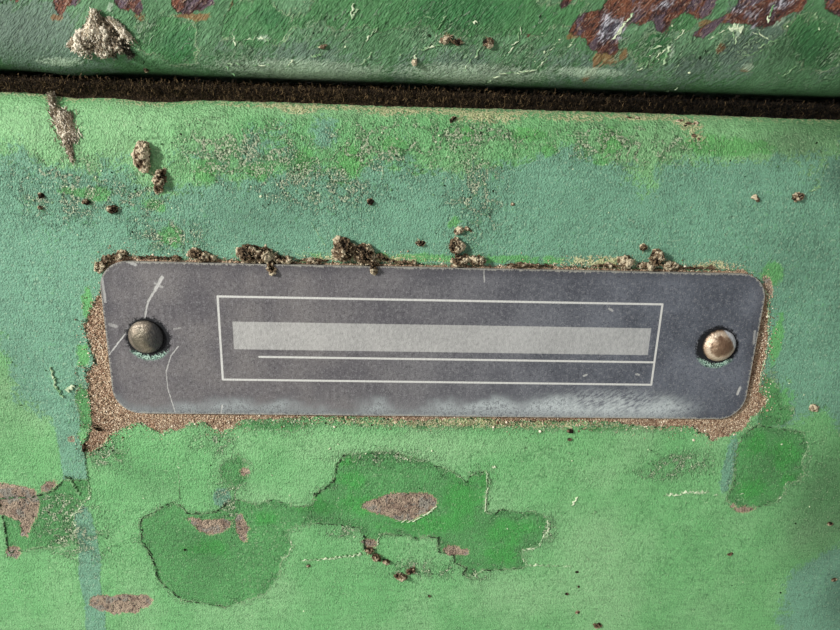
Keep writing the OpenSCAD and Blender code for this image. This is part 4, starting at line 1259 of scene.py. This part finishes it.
# Straw in the clods
# Chaff and short straws were in the earth when it was flung up. They stand out of the dried
# clods and lie on them.
dice = np.random.default_rng(33)
straw_spots, straw_ways = [], []
for clod_x, clod_z, half_w, half_h, out_by, _, _ in CLODS:
    for _ in range(int(2 + 16 * half_w * half_h) if half_w * half_h > 0.3 else 0):
        way = dice.normal(0, 1, 3)
        way[1] = -abs(way[1])
        way /= np.linalg.norm(way)
        straw_spots.append((clod_x + way[0] * half_w * 0.8, skin(clod_z) + way[1] * out_by * 0.85,
                            clod_z + way[2] * half_h * 0.8))
        straw_ways.append(way + dice.normal(0, 0.9, 3))
count = len(straw_spots)
sizes = fibre_sizes(2.8, dice.uniform(0.3, 1.1, count))
turns = pointing(np.array(straw_ways), dice.uniform(0, FULL_TURN, count))
straw = strew("clod_straw", [fibre_model(0.6), fibre_model(-1.0)], np.array(straw_spots), turns,
              sizes, dice.uniform(-0.9, 1.5, count))
straw.data.materials.append(dirt("straw", (92, 74, 52), (160, 138, 104), (226, 208, 170), 0.02))
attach(straw, "root")


# Cotton lint
# A tuft of weathered lint hangs out of the seam at the left, and a flat pile of it sticks to
# the rail above.
# The lint pile's lowest tones, in the lumps and fibres on its right side and low down, are painted shade.
stick_lumps("lint_lumps", [
    # x, z, half width, half height, thickness out of the face, tilt, tone
    (-50.9, 46.8, 0.9, 1.9, 1.2, -8, 1.0), (-52.4, 45.0, 1.4, 1.3, 1.0, -40, 1.0),
    (-50.0, 45.4, 1.7, 1.7, 0.9, 10, 0.2), (-48.8, 45.8, 1.2, 2.0, 0.6, 30, -0.8),
    (-47.4, 44.9, 0.8, 1.3, 0.5, 30, -1.4), (-47.1, 46.6, 1.5, 0.5, 0.8, -48, 0.8),
    (-50.0, 43.6, 1.3, 0.5, 0.6, 0, -1.0),
    (-57.2, 34.0, 1.0, 1.6, 0.3, -4, 0.3), (-56.6, 31.8, 0.9, 1.1, 0.3, 10, 0.1),
], dirt("lint_core", (56, 55, 44), (152, 136, 114), (240, 228, 204), 0.12, 1.6))
LINT = [
    # x, z of the root, x, z of the tip, spread at the root and tip, stand-off, fibres, length, tone
    (-59.9, 37.6, -57.4, 33.6, 0.15, 1.2, 0.4, 240, 1.7, 0.4),
    (-57.4, 35.0, -56.2, 31.0, 1.3, 1.4, 0.4, 420, 1.8, 0.6),
    (-56.6, 32.4, -56.3, 28.4, 1.1, 0.25, 0.3, 180, 1.6, 0.2),
    (-50.7, 48.6, -51.4, 45.4, 0.4, 1.0, 1.0, 340, 1.6, 1.0),
    (-51.2, 47.0, -53.6, 43.6, 0.6, 1.4, 0.9, 420, 1.6, 0.9),
    (-50.4, 48.6, -49.8, 44.0, 0.4, 1.7, 1.0, 620, 1.6, 0.2),
    (-50.6, 46.4, -49.8, 43.4, 0.9, 1.5, 0.8, 320, 1.6, 0.3),
    (-49.8, 47.8, -47.6, 44.0, 0.5, 1.4, 0.6, 400, 1.6, -0.4),
    (-48.4, 48.0, -46.0, 45.4, 0.35, 0.6, 0.8, 260, 1.4, 0.8),
    (-53.6, 45.4, -54.8, 44.2, 0.4, 0.4, 0.4, 70, 1.0, 0.5),
    (-47.4, 45.6, -46.4, 43.2, 0.4, 0.6, 0.4, 120, 1.4, -1.4),
]
dice = np.random.default_rng(41)
spots, ways, lengths, tones = [], [], [], []
for root_x, root_z, tip_x, tip_z, root_spread, tip_spread, stand, fibres, length, tone in LINT:
    for _ in range(fibres):
        share = dice.random()
        spread = root_spread + (tip_spread - root_spread) * share
        off = dice.normal(0, 0.5) * spread
        run_x, run_z = tip_x - root_x, tip_z - root_z
        run = math.hypot(run_x, run_z)
        height = stand * dice.random() * max(0.15, 1 - abs(off) / (1.4 * spread + 0.01))
        spot_z = root_z + run_z * share + run_x / run * off
        spots.append((root_x + run_x * share - run_z / run * off, skin(spot_z) - 0.1 - height, spot_z))
        ways.append(np.array((run_x / run, dice.normal(0, 0.08), run_z / run)) + dice.normal(0, 0.13, 3))
        lengths.append(length * dice.uniform(0.35, 1.0))
        tones.append(tone + dice.normal(0, 0.55) + 0.8 * (height / stand - 0.4))
turns = pointing(np.array(ways), dice.uniform(0, FULL_TURN, len(spots)))
lint = strew("cotton_lint", [fibre_model(0.15), fibre_model(-0.3), fibre_model(0.5)], np.array(spots),
             turns, fibre_sizes(5.5, np.array(lengths)), np.array(tones))
lint.data.materials.append(dirt("weathered_lint", (58, 56, 45), (160, 144, 121), (246, 236, 214), 0.02))
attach(lint, "root")


# Lifted paint
# Slivers and chips of the coat have lifted along cracks and scratches. Their tones carry painted light: a
# chip is pale where its step faces the lamp and dark, as painted shade, where it faces away, and the darkest
# slivers are painted shadow along the flakes' left borders.
SLIVERS = [
    # x, z of each end, width, tone
    (6.5, 41.4, 8.0, 42.5, 0.28, 1.0), (8.0, 42.5, 11.0, 42.9, 0.24, 0.9),
    (11.0, 42.9, 13.2, 43.3, 0.28, 0.9), (13.2, 43.3, 14.9, 45.0, 0.22, 0.8),
    (28.8, 43.6, 31.0, 45.6, 0.24, 0.8), (31.0, 45.6, 33.0, 47.2, 0.26, 0.9),
    (32.9, 47.0, 32.4, 44.6, 0.5, 0.4), (9.0, 45.4, 10.0, 47.2, 0.26, 0.9),
    (10.0, 47.2, 10.6, 49.0, 0.2, 0.5), (-31.4, 46.9, -31.1, 45.0, 0.3, 0.9),
    (-29.6, 46.0, -27.8, 46.3, 0.4, 0.8), (-27.8, 46.3, -26.2, 45.9, 0.36, 0.7),
    (-33.2, 42.6, -32.2, 41.2, 0.3, 0.6), (-33.0, 42.7, -30.8, 42.9, 0.3, 0.7),
    (-29.0, 42.6, -26.4, 42.8, 0.22, 0.5), (-20.2, 44.0, -18.8, 44.4, 0.4, 0.5),
    (-19.2, 45.2, -18.0, 45.5, 0.4, 0.3), (-14.0, 51.2, -14.2, 49.2, 0.4, 0.5),
    (-14.2, 49.2, -13.4, 50.6, 0.3, 0.3), (-4.8, 44.8, -5.2, 43.4, 0.4, 1.0),
    (-4.0, 45.4, -1.4, 46.3, 0.36, 0.7), (4.6, 45.6, 3.8, 44.6, 0.26, 0.8),
    (3.8, 49.6, 3.4, 49.2, 0.4, 1.2), (-3.8, 50.2, -2.8, 49.6, 0.3, 0.6),
    (-44.9, 46.2, -44.9, 42.2, 0.14, -0.6), (-45.0, 46.2, -45.4, 47.8, 0.14, 0.4),
    (16.0, 47.2, 14.6, 45.2, 0.18, 0.6), (25.4, 49.6, 24.2, 47.6, 0.3, 1.0),
    (33.6, 48.0, 34.8, 49.4, 0.2, 0.6), (41.4, 49.9, 43.6, 49.8, 0.9, 1.2),
    (42.0, 49.4, 43.0, 47.8, 0.3, 0.8), (45.2, 49.4, 47.6, 48.6, 0.24, 0.7),
    (46.4, 47.4, 49.2, 48.6, 0.22, 0.5), (44.2, 46.0, 47.2, 47.0, 0.22, 0.5),
    (-23.6, -42.7, -18.0, -42.2, 0.5, 0.5), (-18.0, -42.2, -12.6, -41.4, 0.6, 0.6),
    (18.4, -43.7, 22.6, -43.8, 0.6, 0.5), (22.6, -43.8, 27.2, -44.0, 0.36, 0.4),
    (42.4, -28.6, 46.0, -28.5, 0.6, 0.6), (45.6, -28.2, 50.8, -27.9, 0.85, 0.9),
    (51.2, -28.6, 52.6, -28.4, 0.4, 0.7), (25.7, -30.8, 26.6, -29.2, 0.5, 1.4),
    (29.6, -32.7, 30.4, -32.3, 0.5, 0.8), (10.6, -23.0, 11.2, -23.2, 0.4, 0.9),
    (21.4, -34.0, 21.9, -37.4, 0.5, 0.8), (21.2, -36.8, 20.4, -39.4, 0.3, 0.6),
    (20.2, -39.8, 17.0, -40.6, 0.36, 0.7), (9.6, -24.4, 9.9, -28.4, 0.2, 0.6),
    (9.8, -28.4, 9.8, -32.4, 0.24, 0.7), (0.9, -31.2, -0.8, -32.8, 0.3, 0.9),
    (-0.8, -32.8, -3.4, -34.4, 0.28, 0.9), (-3.4, -34.4, -6.4, -34.2, 0.24, 0.5),
    (-25.4, -38.0, -25.9, -41.4, 0.24, 0.7), (-25.9, -41.4, -27.2, -42.2, 0.3, 0.7),
    (-60.2, -29.6, -62.2, -31.0, 0.3, 0.9), (-62.2, -31.0, -62.4, -32.4, 0.26, 0.8),
    (-62.4, -32.4, -64.2, -33.3, 0.26, 0.8), (-44.7, -19.2, -44.6, -25.0, 0.14, 0.3),
    (-44.6, -25.0, -44.9, -30.0, 0.12, 0.2), (-50.0, -32.8, -52.0, -34.0, 0.26, -1.8),
    (-52.0, -34.0, -52.1, -38.6, 0.2, -1.8), (-52.1, -38.6, -50.6, -41.6, 0.22, -1.8),
    (-60.3, -20.5, -60.3, -26.0, 0.12, -1.4), (-60.2, -32.6, -60.2, -41.4, 0.12, -1.2),
    (-17.6, -26.2, -19.4, -27.8, 0.24, -1.6), (-19.8, -28.0, -21.0, -29.4, 0.24, -1.6),
    (25.0, 48.6, 26.8, 51.4, 0.34, 1.2), (35.2, 41.0, 36.6, 41.7, 0.24, 0.8),
    (38.6, 48.2, 41.6, 50.0, 0.22, 0.7), (47.6, 53.2, 47.0, 50.8, 0.3, 0.8),
    (51.2, 43.4, 52.8, 45.2, 0.2, 0.4), (-12.8, 43.2, -11.2, 44.9, 0.3, 0.5),
    (-12.2, 46.4, -10.4, 48.2, 0.3, 0.5), (17.6, 46.4, 18.6, 47.6, 0.24, 0.8),
    (-1.8, 48.4, -0.6, 50.0, 0.26, 0.7), (-24.0, 42.6, -22.6, 43.6, 0.3, 0.6),
    (2.4, 42.8, 3.6, 44.6, 0.24, 0.6), (30.4, 46.4, 31.4, 47.4, 0.3, 0.6),
    (-60.6, -8.4, -61.8, -9.4, 0.9, 1.2), (-63.9, -5.2, -63.6, -8.2, 0.45, 0.9),
    (-63.6, -8.2, -62.6, -10.6, 0.4, 0.6), (-64.1, -25.6, -63.3, -26.2, 0.5, 0.2),
    (-63.3, -26.2, -62.7, -27.4, 0.6, 0.4), (-62.7, -27.4, -62.3, -29.2, 0.6, 0.3),
    (58.4, 26.4, 60.2, 27.4, 0.5, 0.5), (55.8, -28.8, 57.2, -28.2, 0.24, 0.8),
    (-20.6, 19.6, -18.4, 16.0, 0.12, 0.5),
]
bpy.ops.object.select_all(action="DESELECT")
bpy.ops.mesh.primitive_cylinder_add(vertices=6, radius=0.5, depth=1)
sliver = bpy.context.object
cut_across((-0.3, -0.1, 0.1, 0.3))
points = points_of(sliver.data)
points[:, 0] *= 1 - 1.3 * abs(points[:, 2]) + 0.3 * np.sin(points[:, 2] * 23)
points[:, 0] += 0.25 * np.sin(points[:, 2] * 9)
set_points(sliver.data, points)
dice = np.random.default_rng(51)
chips = []
for x0, z0, x1, z1, width, tone in SLIVERS:
    steps = max(1, round(math.hypot(x1 - x0, z1 - z0) / 0.95))
    for step in range(steps):
        share = (step + 0.5) / steps
        chips.append((x0 + (x1 - x0) * share, z0 + (z1 - z0) * share, x1 - x0, z1 - z0,
                      1.15 * math.hypot(x1 - x0, z1 - z0) / steps, width, tone))
# Along the torn edges, chips get a painted highlight where the step faces the left, towards the lamp, and
# painted shade where it faces away.
for corners in (*LARGE_FLAKES, BARE_OUTLINE):
    turning = sum(x0 * z1 - x1 * z0 for (x0, z0), (x1, z1) in zip(corners, corners[1:] + corners[:1]))
    for (x0, z0), (x1, z1) in zip(corners, corners[1:] + corners[:1]):
        run = math.hypot(x1 - x0, z1 - z0)
        faces_left = (z1 - z0) / run * (1 if turning > 0 else -1)
        for share in np.arange(0.35 / run, 1, 0.62 / run):
            if dice.random() > 0.28:
                chips.append((x0 + (x1 - x0) * share, z0 + (z1 - z0) * share, x1 - x0, z1 - z0,
                              dice.uniform(0.35, 1.0), dice.uniform(0.12, 0.32),
                              0.9 * faces_left - 0.25))
ends = np.array(chips)
count = len(ends)
lean = dice.normal(0, 0.3, count)
run = ends[:, 2:4] / np.hypot(ends[:, 2], ends[:, 3])[:, None]
run = np.stack([run[:, 0] * np.cos(lean) - run[:, 1] * np.sin(lean),
                run[:, 0] * np.sin(lean) + run[:, 1] * np.cos(lean)], 1)
spot_x = ends[:, 0] + dice.normal(0, 0.06, count) * (ends[:, 5] + 0.5)
spot_z = ends[:, 1] + dice.normal(0, 0.06, count) * (ends[:, 5] + 0.5)
off_plate = (abs(spot_x) > PLATE_REACH[0]) | (abs(spot_z) > PLATE_REACH[1])
spots = np.stack([spot_x, skin(spot_z) - 0.03, spot_z], 1)
ways = np.stack([run[:, 0], dice.normal(0, 0.06, count), run[:, 1]], 1)
ways /= np.linalg.norm(ways, axis=1)[:, None]
across = np.cross(np.tile((0.0, -1.0, 0.0), (count, 1)), ways)
across /= np.linalg.norm(across, axis=1)[:, None]
turns = np.stack([across, np.cross(ways, across), ways], 2)
sizes = np.stack([ends[:, 5] * dice.uniform(0.7, 1.3, count), np.clip(ends[:, 5] * 0.6, 0.1, 0.3),
                  ends[:, 4]], 1)
tones = ends[:, 6] + dice.normal(0, 0.3, count)
slivers = strew("lifted_paint", [sliver], spots[off_plate], turns[off_plate], sizes[off_plate],
                tones[off_plate])
slivers.data.materials.append(dirt("lifted_coat", (36, 50, 32), (122, 162, 114), (222, 232, 196), 0.03))
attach(slivers, "root")


# Paint crumbs
# Where the coat is crumbly, small scales of it and grains of dirt still cling to the surface.
# Each lies flat against the paint.
dice = np.random.default_rng(61)
tries = 15000
spot_x, spot_z = dice.uniform(-74, 74, tries), dice.uniform(-56, 52, tries)
likely = np.where(spot_z > 41, 0.5 * cloud(spot_x, spot_z, UPPER_FLAKY), cloud(spot_x, spot_z, FLAKY))
kept = (dice.random(tries) < 0.02 + 0.6 * likely ** 1.5) & ((spot_z < 37) | (spot_z > 42.5))
kept &= (abs(spot_x) > 55) | (abs(spot_z) > 14)
spot_x, spot_z = spot_x[kept], spot_z[kept]
count = len(spot_x)
radii = dice.uniform(0.07, 0.2, count)
spots = np.stack([spot_x, skin(spot_z) - 0.02, spot_z], 1)
ways = np.stack([dice.normal(0, 0.25, count), -np.ones(count), dice.normal(0, 0.25, count)], 1)
turns = pointing(ways, dice.uniform(0, FULL_TURN, count))
sizes = radii[:, None] * np.stack([dice.uniform(0.6, 1.6, count), dice.uniform(0.5, 1.2, count),
                                   dice.uniform(0.3, 0.7, count)], 1)
crumbs_piece = strew("paint_crumbs", [grain_model()], spots, turns, sizes,
                     dice.choice([-1.4, 0.0, 0.5, 1.3], count, p=[0.22, 0.36, 0.22, 0.2]))
crumbs_piece.data.materials.append(dirt("coat_crumbs", (34, 48, 30), (108, 154, 106), (220, 230, 190), 0.02))
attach(crumbs_piece, "root")
